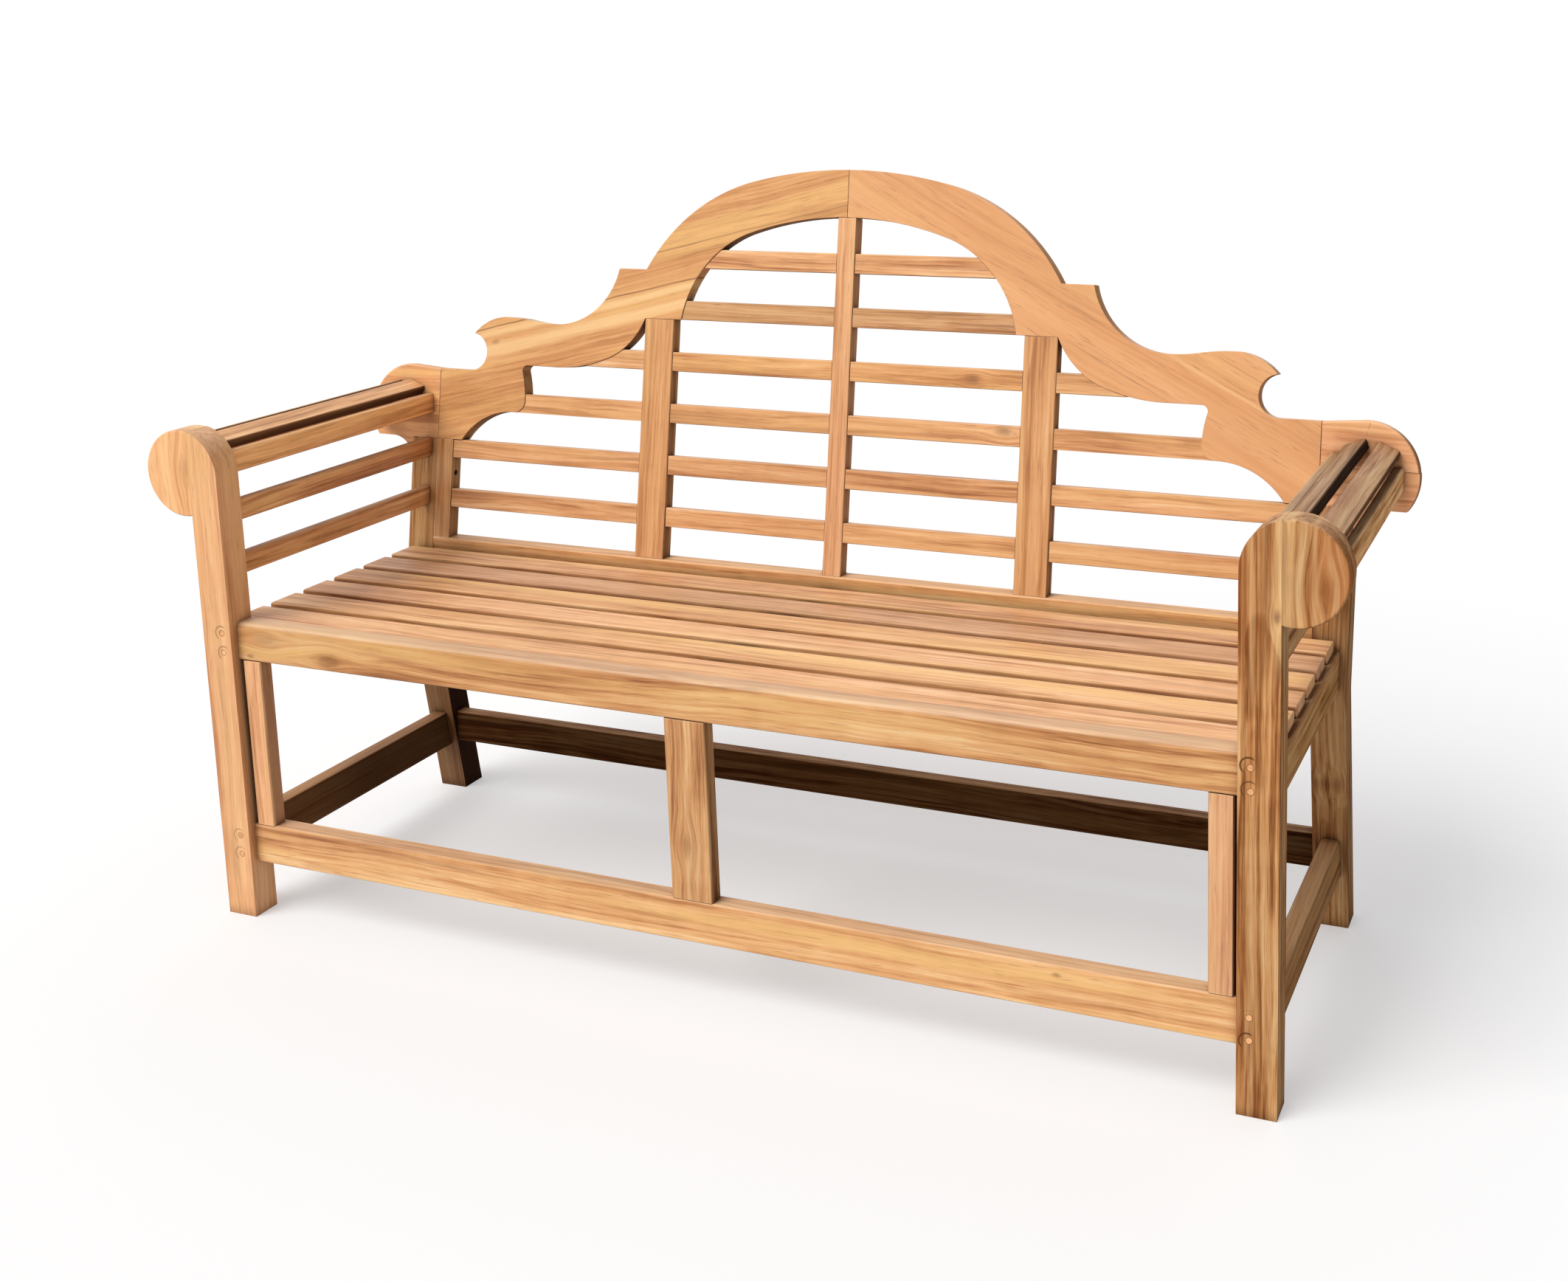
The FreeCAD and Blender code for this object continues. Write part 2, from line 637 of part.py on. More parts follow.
# Stiles of the back: blanks reach into the rail below and the crest above, and are then fitted to both
stile_edges = {
    "end_left": (f"-{LEG_IN}", f"-({LEG_IN} - end_stile_width)"),
    "wide_left": ("-(wide_stile_at + wide_stile_width / 2)", "-(wide_stile_at - wide_stile_width / 2)"),
    "middle": ("-middle_stile_width / 2", "middle_stile_width / 2"),
    "wide_right": ("(wide_stile_at - wide_stile_width / 2)", "(wide_stile_at + wide_stile_width / 2)"),
    "end_right": (f"({LEG_IN} - end_stile_width)", LEG_IN),
}
stile_tops = {"end": CREST_OUTER_END, "wide": CREST_INNER_END, "middle": "(crest_rise - crest_depth)"}
stiles = {}
stile_tongues = {}
stile_mortises = {}
for spot, across in stile_edges.items():
    top = stile_tops[spot.split("_")[0]]
    reach = REACH_IN if spot == "middle" else 0
    stiles[spot] = back_bar("Stile" + spot, across, (f"-{REACH_IN}", f"{top} + {reach}"), ("0", "back_thick"))
    stile_tongues[spot] = back_box(
        "Stile" + spot + "Tongue", (f"{across[0]} + tongue_shoulder", f"{across[1]} - tongue_shoulder"),
        (TONGUE_DEPTH, f"{TONGUE_DEPTH} + tongue_thick"), ("-tongue_long", f"{top} + tongue_long"))
    stile_mortises[spot] = []
    mortises["rear_rail"].append(stile_tongues[spot])
    for hand in SIDES:
        if hand in spot or spot == "middle":
            mortises["crest"][hand].append(stile_tongues[spot])


# Horizontal slats of the back, in pairs left and right of the middle
def back_slat(name, hand, row, inner, outer, receivers):
    """One slat from the inner stile to the outer stile or the crest."""
    side = SIDES[hand]
    across = (inner, outer) if side > 0 else (f"-({outer})", f"-({inner})")
    rise = (f"({row} * slat_pitch - back_slat_width)", f"({row} * slat_pitch)")
    bar = back_bar(name, across, rise, ("back_slat_set", "(back_slat_set + back_slat_thick)"))
    tongue_across = (f"{across[0]} - tongue_long", f"{across[1]} + tongue_long")
    tongue = back_box(name + "Tongue", tongue_across, (TONGUE_DEPTH, f"{TONGUE_DEPTH} + tongue_thick"),
                      (f"{rise[0]} + tongue_shoulder", f"{rise[1]} - tongue_shoulder"))
    for receiver in receivers:
        if receiver == "crest":
            mortises["crest"][hand].append(tongue)
        else:
            stile_mortises[receiver].append(tongue)
    shoulders = [crests[hand]] if "crest" in receivers else []
    return joined(name + "Piece", bar, shoulders, [tongue])


middle_edge = "middle_stile_width / 2"
wide_inner = "(wide_stile_at - wide_stile_width / 2)"
wide_outer = "(wide_stile_at + wide_stile_width / 2)"
end_inner = f"({LEG_IN} - end_stile_width)"
crest_side_reach = {5: f"({ARCH_HALF} + tongue_shoulder)", 6: f"({ARCH_HALF} - back_slat_width)"}
for row in range(1, ROWS + 1):
    pair = []
    for hand in SIDES:
        outer = crest_side_reach.get(row, wide_inner)
        receiver = "crest" if row in crest_side_reach else "wide_" + hand
        pair.append(back_slat(f"CentreSlat{row}{hand}", hand, row, middle_edge, outer, ["middle", receiver]))
    keep(f"back_slat_centre_{row}", group(f"CentreSlats{row}", pair))

end_reach = {3: "(lobe_at + lobe_corner)", 4: "(wing_reach + slat_pitch / 2)"}
for row in range(1, END_ROWS + 1):
    pair = []
    for hand in SIDES:
        outer = end_reach.get(row, end_inner)
        receiver = "crest" if row in end_reach else "end_" + hand
        pair.append(back_slat(f"EndSlat{row}{hand}", hand, row, wide_outer, outer, ["wide_" + hand, receiver]))
    keep(f"back_slat_end_{row}", group(f"EndSlats{row}", pair))


# Arm slats run from the front leg and scroll back to the leaning rear leg and scroll
def arm_slat(name, hand, x, z, width, lean_in, receivers):
    """One slat, given by the middle of its outer face, its width and the angle that face is turned inwards."""
    side = SIDES[hand]
    angle = f"({-side} * ({lean_in}))"
    sideways = x if side > 0 else f"-({x})"
    rear = lean_y(z)

    def bar(label, width, low, high, start, end, section):
        body = solid(label, "XZ_Plane", section(f"-({width}) / 2", f"({width}) / 2", low, high),
                     f"({end}) - ({start})")
        place(body, sideways, start, z, (0, 1, 0), angle)
        return body

    def plain(left, right, low, high):
        return [(left, low), (right, low), (right, high), (left, high)]

    slat = bar(name, width, "-arm_slat_thick", "0", f"{FRONT} + leg_depth",
               f"{rear} + {REACH_IN}", eased)
    tongue = bar(name + "Tongue", f"{width} - 2 * tongue_shoulder",
                 "-(arm_slat_thick + tongue_thick) / 2", "-(arm_slat_thick - tongue_thick) / 2",
                 f"{FRONT} + leg_depth - tongue_long", f"{rear} + tongue_long", plain)
    shoulders = []
    for receiver in receivers:
        mortises[receiver][hand].append(tongue)
        if receiver == "rear_leg":
            shoulders += [rear_legs[hand], lower_scrolls[hand]]
        if receiver == "rear_scroll":
            shoulders += [upper_scrolls[hand], lower_scrolls[hand]]
    return joined(name + "Piece", slat, shoulders, [tongue])


SCROLL_ENDS = ["front_leg", "front_scroll", "rear_scroll"]
for hand in SIDES:
    for spot in ("inner", "top", "shoulder", "outer"):
        keep(f"arm_slat_{spot}_{hand}", arm_slat(
            f"ArmSlat{spot}{hand}", hand, f"{SCROLL_X} + arm_{spot}_out", f"(arm_scroll_height + arm_{spot}_up)",
            "arm_slat_width", f"arm_{spot}_angle", SCROLL_ENDS))
    for count, spot in enumerate(("middle", "low")):
        height = f"(arm_scroll_height - side_slat_drop - {count} * side_slat_pitch)"
        keep(f"arm_slat_{spot}_{hand}", arm_slat(
            f"ArmSlat{spot}{hand}", hand, f"{LEG_IN} + side_slat_inset", height,
            "side_slat_width", "90", ["front_leg", "rear_leg"]))

# Pegs through the front legs pin the tenons of the front seat rail and stretcher
pegs = []
for hand, side in SIDES.items():
    for spot, up in (("Rail", rail_up), ("Stretcher", stretcher_up)):
        for way in (-1, 1):
            peg = doc.addObject("Part::Cylinder", f"Peg{spot}{hand}{'Low' if way < 0 else 'High'}")
            bind(peg, "Radius", "peg_diameter / 2")
            bind(peg, "Height", "peg_long")
            place(peg, f"{side} * ({LEG_IN} + peg_inset)", f"{FRONT}",
                  f"(({up[0]}) + ({up[1]})) / 2 + {way} * peg_spread / 2", (1, 0, 0), "-90")
            pegs.append(peg)
keep("leg_pegs", group("Pegs", pegs))

# One screw on each side holds the back panel to the rear leg, its head sunk in the end stile
screws = []
for hand, side in SIDES.items():
    rise = "(1.5 * slat_pitch - back_slat_width / 2)"
    depth = "back_thick / 2"
    inner = f"({end_inner} + screw_recess)"

    def turned(name, radius, start, length):
        part = doc.addObject("Part::Cylinder", name + hand)
        bind(part, "Radius", radius)
        bind(part, "Height", length)
        y = f"{BACK} + {depth} * cos(back_lean) + {rise} * sin(back_lean)"
        z = f"rail_top - {depth} * sin(back_lean) + {rise} * cos(back_lean)"
        place(part, f"{side} * ({start})", y, z, (0, 1, 0), f"{90 * side}")
        return part

    head = turned("ScrewHead", "screw_head / 2", f"{inner} - screw_head_tall", "screw_head_tall")
    shank = turned("ScrewShank", "screw_diameter / 2", inner, "screw_long")
    well = turned("ScrewWell", "screw_head / 2", end_inner, "screw_recess")
    screws.append(joined("Screw" + hand, head, (), [shank]))
    stile_mortises["end_" + hand] += [well, shank]
    mortises["rear_leg"][hand].append(shank)
    mortises["rear_scroll"][hand].append(shank)
keep("back_panel_screws", group("Screws", screws))

# Pieces that take the tenons of others
for hand in SIDES:
    keep("front_leg_" + hand,
         joined("FrontLegPiece" + hand, front_legs[hand], (), (), mortises["front_leg"][hand] + pegs))
    keep("front_scroll_block_" + hand,
         joined("FrontScrollPiece" + hand, front_scrolls[hand], (), (), mortises["front_scroll"][hand]))
    keep("rear_leg_" + hand,
         joined("RearLegPiece" + hand, rear_legs[hand], (), (), mortises["rear_leg"][hand]))
    keep("rear_scroll_upper_" + hand,
         joined("UpperScrollPiece" + hand, upper_scrolls[hand], (), (), mortises["rear_scroll"][hand]))
    keep("rear_scroll_lower_" + hand,
         joined("LowerScrollPiece" + hand, lower_scrolls[hand], (), (), mortises["rear_scroll"][hand]))
    keep("crest_rail_" + hand,
         joined("CrestPiece" + hand, crests[hand], (), (), mortises["crest"][hand]))
keep("front_seat_rail",
     joined("FrontRailPiece", front_rail, (), [front_rail_tenon], mortises["front_rail"] + pegs))
keep("front_stretcher",
     joined("FrontStretcherPiece", front_stretcher, (), [front_stretcher_tenon],
            mortises["front_stretcher"] + pegs))
keep("rear_seat_rail", joined("RearRailPiece", rear_rail, (), [rear_rail_tenon], mortises["rear_rail"]))
keep("rear_stretcher", joined("RearStretcherPiece", rear_stretcher, (), [rear_stretcher_tenon]))
stile_labels = {"end_left": "end_stile_left", "wide_left": "wide_stile_left", "middle": "middle_stile",
                "wide_right": "wide_stile_right", "end_right": "end_stile_right"}
for spot, label in stile_labels.items():
    neighbours = [rear_rail]
    if spot == "middle":
        neighbours += list(crests.values())
    keep(label, joined("Stile" + spot + "Piece", stiles[spot], neighbours, [stile_tongues[spot]],
                       stile_mortises[spot]))

doc.recompute()

# Every piece is checked before anything is written
for item in doc.Objects:
    if "Invalid" in item.State or "Error" in item.State:
        raise RuntimeError(f"{item.Label} did not build: {item.State}")
for node in nodes:
    if node.Shape.isNull() or not node.Shape.isValid() or not node.Shape.Solids:
        raise RuntimeError(f"{node.Label} is not a sound solid")

os.makedirs("parts", exist_ok=True)
for node in nodes:
    node.Shape.exportStep(f"parts/{node.Label}.step")
print(len(nodes), "pieces,", sum(len(node.Shape.Solids) for node in nodes), "solids")
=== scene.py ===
"""Looks of the teak garden bench: oiled wood with its own grain in every piece, soft studio light, pale floor."""

import math

import bpy
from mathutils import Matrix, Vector
from mathutils.bvhtree import BVHTree

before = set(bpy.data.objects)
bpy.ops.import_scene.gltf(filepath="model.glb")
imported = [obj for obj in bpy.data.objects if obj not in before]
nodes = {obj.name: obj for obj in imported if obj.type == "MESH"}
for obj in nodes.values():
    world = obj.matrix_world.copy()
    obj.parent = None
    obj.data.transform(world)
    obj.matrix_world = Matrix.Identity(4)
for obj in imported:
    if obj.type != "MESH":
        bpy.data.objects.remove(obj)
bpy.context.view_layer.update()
scene = bpy.context.scene

# Places on the bench that its looks refer to, in metres
LEAN = math.radians(10)
KNEE = 0.354
LEG_KICK = 0.1437
BACK_FOOT_Y, BACK_FOOT_Z = 0.152, 0.444
RAIL_FACE = -0.265
LEG_FACE = -0.277
DRILL_RING = 0.0098

LEFT, RIGHT, FORWARD, UP, DOWN = (-1, 0, 0), (1, 0, 0), (0, -1, 0), (0, 0, 1), (0, 0, -1)
UPPER_LEFT = (-0.8, 0, 0.6)

# Turns that lay a piece's grain along the first axis of the wood pattern
RIGHT_ANGLE = math.radians(90)
LEFT_SLANT = math.radians(14)
RIGHT_SLANT = math.radians(27.5)
GRAIN = {
    "x": (0, 0, 0),
    "y": (0, 0, -RIGHT_ANGLE),
    "z": (0, RIGHT_ANGLE, 0),
    "cranked": (0, RIGHT_ANGLE, 0),
    "lean_x": (LEAN, 0, 0),
    "lean_z": (LEAN, RIGHT_ANGLE, 0),
    "crest_left": (LEAN, LEFT_SLANT, 0),
    "crest_right": (LEAN, -RIGHT_SLANT, 0),
}

# Colours of teak from its darkest shade to its palest, then those of its features
SHADES = [
    (0.0, (0.250, 0.090, 0.030)),
    (0.28, (0.450, 0.195, 0.072)),
    (0.52, (0.640, 0.325, 0.136)),
    (0.76, (0.745, 0.430, 0.205)),
    (1.0, (0.830, 0.560, 0.310)),
]
GOLDEN = (0.79, 0.50, 0.20)
DARK_STREAK = (0.25, 0.095, 0.036)
PORE = (0.24, 0.11, 0.05)
PALE_STREAK = (0.85, 0.59, 0.31)
# Dark colour of knots and streaks, also used for painted shadow round pegs and painted shade bands under the seat
DARK_MARK_AND_SHADE = (0.105, 0.040, 0.016)
# Pale colour painted on faces that lie up, as painted top light and sheen
TOP_LIGHT_SHEEN = (0.93, 0.70, 0.51)
CUT_END = (0.42, 0.20, 0.085)
# Pale colour of rounded edges: partly rubbed wear, partly painted highlight
RUBBED_EDGE_HIGHLIGHT = (0.88, 0.64, 0.40)

# Tints that multiply the colour of the wood
RED_BROWN = (0.70, 0.52, 0.42)
PINKISH = (0.98, 0.98, 1.24)
WEATHERED = (0.66, 0.76, 0.98)
# Tint of the painted top light on faces that lie up
TOP_LIGHT_TINT = (1.10, 1.22, 1.62)
# Painted shade in closed corners and gaps between pieces
CORNER_SHADE = (0.16, 0.10, 0.06)
SHADED = (0.10, 0.06, 0.035)
WARM = (1.0, 0.965, 0.88)

# Scales of the noise behind each feature of the wood, along the grain and across it
SWAY = (1.9, 7, 7)
WOBBLE = (11, 22, 22)
RING_DRIFT = (0.5, 13, 13)
WIDE_BANDS = (0.8, 15, 15)
NARROW_BANDS = (1.8, 80, 80)
FINE_BANDS = (5, 230, 230)
FIBRES = (11, 640, 640)
RIPPLES = (26, 9, 9)
PORES = (26, 600, 600)
GOLD_ZONES = (1.1, 27, 27)
RED_ZONES = (2.2, 21, 21)
STREAK_ZONES = (1.1, 66, 66)

# Growth rings: how many to a metre, where their heart lies beside the board, and their slant along it
RINGS_TO_METRE = 105.0
HEART_Y, HEART_Z = 0.31, 0.17
RING_SLANT = 0.022


def link(tree, source, target):
    tree.links.new(source, target)


def add(tree, kind, **settings):
    node = tree.nodes.new(kind)
    for name, value in settings.items():
        setattr(node, name, value)
    return node


def feed(tree, socket, value):
    """Sets a socket to a number or colour, or links it to another node's output."""
    if isinstance(value, (int, float)):
        socket.default_value = value
    elif isinstance(value, tuple):
        socket.default_value = (*value, 1) if socket.type == "RGBA" else value
    else:
        link(tree, value, socket)


def calc(tree, operation, first, second=None, third=None, clamp=False):
    node = add(tree, "ShaderNodeMath", operation=operation, use_clamp=clamp)
    for socket, value in zip(node.inputs, (first, second, third)):
        if value is not None:
            feed(tree, socket, value)
    return node.outputs[0]


def calc_vector(tree, operation, first, second=None):
    node = add(tree, "ShaderNodeVectorMath", operation=operation)
    feed(tree, node.inputs[0], first)
    if second is not None:
        feed(tree, node.inputs[1], second)
    return node.outputs["Value" if operation in ("DOT_PRODUCT", "LENGTH") else "Vector"]


def parts_of(tree, vector):
    """The three parts of a vector."""
    node = add(tree, "ShaderNodeSeparateXYZ")
    link(tree, vector, node.inputs["Vector"])
    return node.outputs["X"], node.outputs["Y"], node.outputs["Z"]


def noise(tree, vector, scale, detail, roughness=0.5, output="Fac"):
    """Noise whose scale along and across the grain is set separately."""
    place = calc_vector(tree, "MULTIPLY", vector, scale)
    node = add(tree, "ShaderNodeTexNoise")
    node.inputs["Scale"].default_value = 1.0
    node.inputs["Detail"].default_value = detail
    node.inputs["Roughness"].default_value = roughness
    link(tree, place, node.inputs["Vector"])
    return node.outputs[output]


def swing(tree, vector, scale, detail, roughness=0.5):
    """Noise that swings about zero."""
    return calc(tree, "SUBTRACT", noise(tree, vector, scale, detail, roughness), 0.5)


def smooth(tree, value, low, high, start=0.0, end=1.0):
    """A soft step from one number to another while a value rises between two limits."""
    node = add(tree, "ShaderNodeMapRange", interpolation_type="SMOOTHSTEP")
    for name, setting in (("From Min", low), ("From Max", high), ("To Min", start), ("To Max", end)):
        feed(tree, node.inputs[name], setting)
    feed(tree, node.inputs["Value"], value)
    return node.outputs["Result"]


def facing(tree, vector, way, low, high, strength=1.0):
    """How far a vector points one way, as a soft step up to a strength."""
    return smooth(tree, calc_vector(tree, "DOT_PRODUCT", vector, way), low, high, 0.0, strength)


def largest(tree, values):
    total = values[0]
    for value in values[1:]:
        total = calc(tree, "MAXIMUM", total, value)
    return total


def ramp(tree, factor, stops):
    node = add(tree, "ShaderNodeValToRGB")
    elements = node.color_ramp.elements
    while len(elements) < len(stops):
        elements.new(0.5)
    for element, (position, colour) in zip(elements, stops):
        element.position = position
        element.color = (*colour, 1)
    link(tree, factor, node.inputs["Fac"])
    return node.outputs["Color"]


def mix(tree, factor, first, second, blend="MIX"):
    node = add(tree, "ShaderNodeMix", data_type="RGBA", blend_type=blend)
    for socket, value in ((node.inputs[0], factor), (node.inputs[6], first), (node.inputs[7], second)):
        feed(tree, socket, value)
    return node.outputs[2]


def tint(tree, factor, colour, shade):
    """A colour that is multiplied by another one as far as the factor says."""
    return mix(tree, factor, colour, mix(tree, 1.0, colour, shade, "MULTIPLY"))


def new_material(name):
    """A material with its node tree and its shader."""
    material = bpy.data.materials.new(name)
    material.use_nodes = True
    return material, material.node_tree, material.node_tree.nodes["Principled BSDF"]


WOOD_INPUTS = {"Tone": 1.0, "Contrast": 0.7, "Rings": 0.5, "Bands": 0.7, "Streaks": 0.4, "Gold": 0.3, "Red": 0.2,
               "Pink": 0.0, "Pale": 0.0, "Grey": 0.0, "TopLight": 0.0, "End grain": 0.0, "Edge": 0.0, "Open": 1.0,
               "Shade": 0.0, "Mark": 0.0}
WOOD_OUTPUTS = {"Color": "NodeSocketColor", "Roughness": "NodeSocketFloat", "Height": "NodeSocketFloat"}


def bend_grain(tree, place):
    """Lets the grain wander a little from a straight line."""
    bent = place
    for scale, reach in ((SWAY, 0.030), (WOBBLE, 0.004)):
        aside = calc_vector(tree, "SUBTRACT", noise(tree, place, scale, 2.0, 0.5, "Color"), (0.5, 0.5, 0.5))
        bent = calc_vector(tree, "ADD", bent, calc_vector(tree, "MULTIPLY", aside, (0.0, reach, reach)))
    return bent


def growth_rings(tree, bent):
    """Rings about a heart beside the board: each darkens slowly and ends in a thin line of its own depth."""
    along, across, up = parts_of(tree, bent)
    across = calc(tree, "ADD", across, calc(tree, "MULTIPLY", along, RING_SLANT))
    away = calc(tree, "SQRT", calc(tree, "ADD", calc(tree, "POWER", calc(tree, "ADD", across, HEART_Y), 2.0),
                                   calc(tree, "POWER", calc(tree, "ADD", up, HEART_Z), 2.0)))
    uneven = calc(tree, "MULTIPLY", noise(tree, bent, RING_DRIFT, 1.0), 7.0)
    growth = calc(tree, "MULTIPLY_ADD", away, RINGS_TO_METRE, uneven)
    within = calc(tree, "FRACT", growth)
    year = add(tree, "ShaderNodeTexWhiteNoise", noise_dimensions="1D")
    link(tree, calc(tree, "FLOOR", growth), year.inputs["W"])
    depth = calc(tree, "MULTIPLY_ADD", calc(tree, "POWER", year.outputs["Value"], 2.6), 0.92, 0.08)
    line = calc(tree, "MULTIPLY", smooth(tree, within, 0.30, 0.94), smooth(tree, within, 0.94, 1.0, 1.0, 0.0))
    return calc(tree, "MULTIPLY", line, depth)


def fresh_colour(tree, given, bent, shade, pores):
    """Colour of sound teak: its shade, golden and red-brown zones, streaks along the grain, pores and marks, some of
    the marks being painted shadow and painted shade.
    """
    colour = ramp(tree, shade, SHADES)
    golden = smooth(tree, noise(tree, bent, GOLD_ZONES, 2.0), 0.46, 0.66)
    colour = mix(tree, calc(tree, "MULTIPLY", golden, given["Gold"]), colour, GOLDEN)
    elsewhere = calc_vector(tree, "ADD", bent, (5.3, 0.7, 0.4))
    red = smooth(tree, noise(tree, elsewhere, RED_ZONES, 3.0), 0.45, 0.68)
    colour = tint(tree, calc(tree, "MULTIPLY", red, given["Red"]), colour, RED_BROWN)
    dark = smooth(tree, noise(tree, bent, STREAK_ZONES, 3.0, 0.6), 0.57, 0.70)
    colour = mix(tree, calc(tree, "MULTIPLY", dark, given["Streaks"]), colour, DARK_STREAK)
    colour = mix(tree, smooth(tree, pores, 0.60, 0.74, 0.0, 0.45), colour, PORE)
    colour = tint(tree, given["Pink"], colour, PINKISH)
    colour = mix(tree, given["Pale"], colour, PALE_STREAK)
    return mix(tree, given["Mark"], colour, DARK_MARK_AND_SHADE)


def aged_colour(tree, given, colour):
    """Weathered faces are greyer, those that lie up get a pale painted top light and sheen, end grain is darker,
    rounded edges are paler with rubbed wear and a painted highlight, closed corners get painted shade, and faces
    turned from the light get painted shade.
    """
    colour = tint(tree, given["Grey"], colour, WEATHERED)
    # painted top light and sheen on faces that lie up
    top_lit = mix(tree, 0.4, mix(tree, 1.0, colour, TOP_LIGHT_TINT, "MULTIPLY"), TOP_LIGHT_SHEEN)
    colour = mix(tree, given["TopLight"], colour, top_lit)
    colour = mix(tree, calc(tree, "MULTIPLY", given["End grain"], 0.35), colour, CUT_END)
    # rounded edges paler: rubbed wear and a painted highlight
    worn = calc(tree, "MULTIPLY", given["Edge"], smooth(tree, given["Open"], 0.45, 0.85, 0.0, 0.55))
    colour = mix(tree, worn, colour, RUBBED_EDGE_HIGHLIGHT)
    # painted shade in closed corners and gaps
    colour = tint(tree, smooth(tree, given["Open"], 0.18, 0.82, 0.93, 0.0), colour, CORNER_SHADE)
    # painted shade on undersides and on faces turned from the light
    colour = tint(tree, given["Shade"], colour, SHADED)
    toned = add(tree, "ShaderNodeVectorMath", operation="SCALE")
    link(tree, colour, toned.inputs[0])
    link(tree, given["Tone"], toned.inputs["Scale"])
    return calc_vector(tree, "MULTIPLY", toned.outputs["Vector"], WARM)


def build_wood_group():
    """Colour, roughness and height of teak, from a place in the wood with its grain along X."""
    tree = bpy.data.node_groups.new("TeakWood", "ShaderNodeTree")
    tree.interface.new_socket("Place", in_out="INPUT", socket_type="NodeSocketVector")
    for name, value in WOOD_INPUTS.items():
        tree.interface.new_socket(name, in_out="INPUT", socket_type="NodeSocketFloat").default_value = value
    for name, kind in WOOD_OUTPUTS.items():
        tree.interface.new_socket(name, in_out="OUTPUT", socket_type=kind)
    given = add(tree, "NodeGroupInput").outputs
    results = add(tree, "NodeGroupOutput").inputs
    place = given["Place"]
    bent = bend_grain(tree, place)
    rings = calc(tree, "MULTIPLY", growth_rings(tree, bent), given["Rings"])

    # slow bands of colour, finer figure along the grain, fibres and short open pores
    wide = swing(tree, bent, WIDE_BANDS, 2.0)
    narrow = swing(tree, bent, NARROW_BANDS, 3.0, 0.6)
    fine = swing(tree, bent, FINE_BANDS, 3.0, 0.6)
    fibres = swing(tree, place, FIBRES, 3.0, 0.65)
    ripple = swing(tree, bent, RIPPLES, 2.0)
    pores = noise(tree, place, PORES, 2.0)
    figure = calc(tree, "MULTIPLY_ADD", narrow, 1.5, calc(tree, "MULTIPLY", fine, 1.4))
    figure = calc(tree, "MULTIPLY_ADD", fibres, 0.6, figure)
    figure = calc(tree, "MULTIPLY_ADD", ripple, 0.25, figure)
    shade = calc(tree, "MULTIPLY_ADD", wide, given["Bands"], 0.56)
    shade = calc(tree, "MULTIPLY_ADD", figure, given["Contrast"], shade)
    shade = calc(tree, "SUBTRACT", shade, calc(tree, "MULTIPLY", rings, 0.45), clamp=True)

    colour = fresh_colour(tree, given, bent, shade, pores)
    link(tree, aged_colour(tree, given, colour), results["Color"])
    link(tree, calc(tree, "MULTIPLY_ADD", fibres, -0.4, 0.46), results["Roughness"])
    groove = calc(tree, "MULTIPLY_ADD", rings, -0.35, calc(tree, "MULTIPLY_ADD", fine, 0.6, fibres))
    groove = calc(tree, "SUBTRACT", groove, smooth(tree, pores, 0.60, 0.70, 0.0, 0.35))
    link(tree, calc(tree, "SUBTRACT", groove, given["Mark"]), results["Height"])
    return tree


wood_group = build_wood_group()


def turned(tree, vector, kind, grain, location=(0, 0, 0)):
    """A vector turned so that the piece's grain lies along X."""
    node = add(tree, "ShaderNodeMapping", vector_type=kind)
    node.inputs["Rotation"].default_value = GRAIN[grain]
    if kind == "POINT":
        node.inputs["Location"].default_value = location
    link(tree, vector, node.inputs["Vector"])
    return node.outputs["Vector"]


def straightened(tree, spot):
    """Takes the crank out of a rear leg, so that its grain follows both parts."""
    over_knee = calc(tree, "SUBTRACT", parts_of(tree, spot)[2], KNEE)
    drop = calc(tree, "MAXIMUM", calc(tree, "MULTIPLY", over_knee, math.tan(LEAN)),
                calc(tree, "MULTIPLY", over_knee, -LEG_KICK))
    return calc_vector(tree, "SUBTRACT", spot, calc_vector(tree, "MULTIPLY", (0.0, 1.0, 0.0), drop))


def streak(tree, spot, grain, x, y, z, width, strength, length=1.0):
    """Strength of one streak along the grain, on both sides of a point of the piece."""
    offset = turned(tree, calc_vector(tree, "SUBTRACT", spot, (x, y, z)), "VECTOR", grain)
    along, _, aside = parts_of(tree, offset)
    drift = swing(tree, offset, (6, 30, 30), 3.0)
    gap = calc(tree, "ABSOLUTE", calc(tree, "MULTIPLY_ADD", drift, 0.010, aside))
    fade = smooth(tree, calc(tree, "ABSOLUTE", along), 0.5 * length, length, strength, 0.0)
    return calc(tree, "MULTIPLY", smooth(tree, gap, 0.3 * width, 1.2 * width, 1.0, 0.0), fade)


def knot(tree, spot, grain, place, x, y, z, size, depth):
    """The place in the wood pulled round one knot, and the strength of its dark heart."""
    offset = turned(tree, calc_vector(tree, "SUBTRACT", spot, (x, y, z)), "VECTOR", grain)
    reach = calc_vector(tree, "LENGTH", calc_vector(tree, "MULTIPLY", offset, (0.5 / size, 1 / size, 1 / size)))
    pull = calc_vector(tree, "MULTIPLY", calc_vector(tree, "MULTIPLY", offset, (0, 1, 1)),
                       smooth(tree, reach, 0.0, 3.5, 0.92, 0.0))
    ragged = calc(tree, "MULTIPLY_ADD", noise(tree, offset, (300, 500, 500), 3.0), 0.8, reach)
    return calc_vector(tree, "SUBTRACT", place, pull), smooth(tree, ragged, 0.5, 2.0, depth, 0.0)


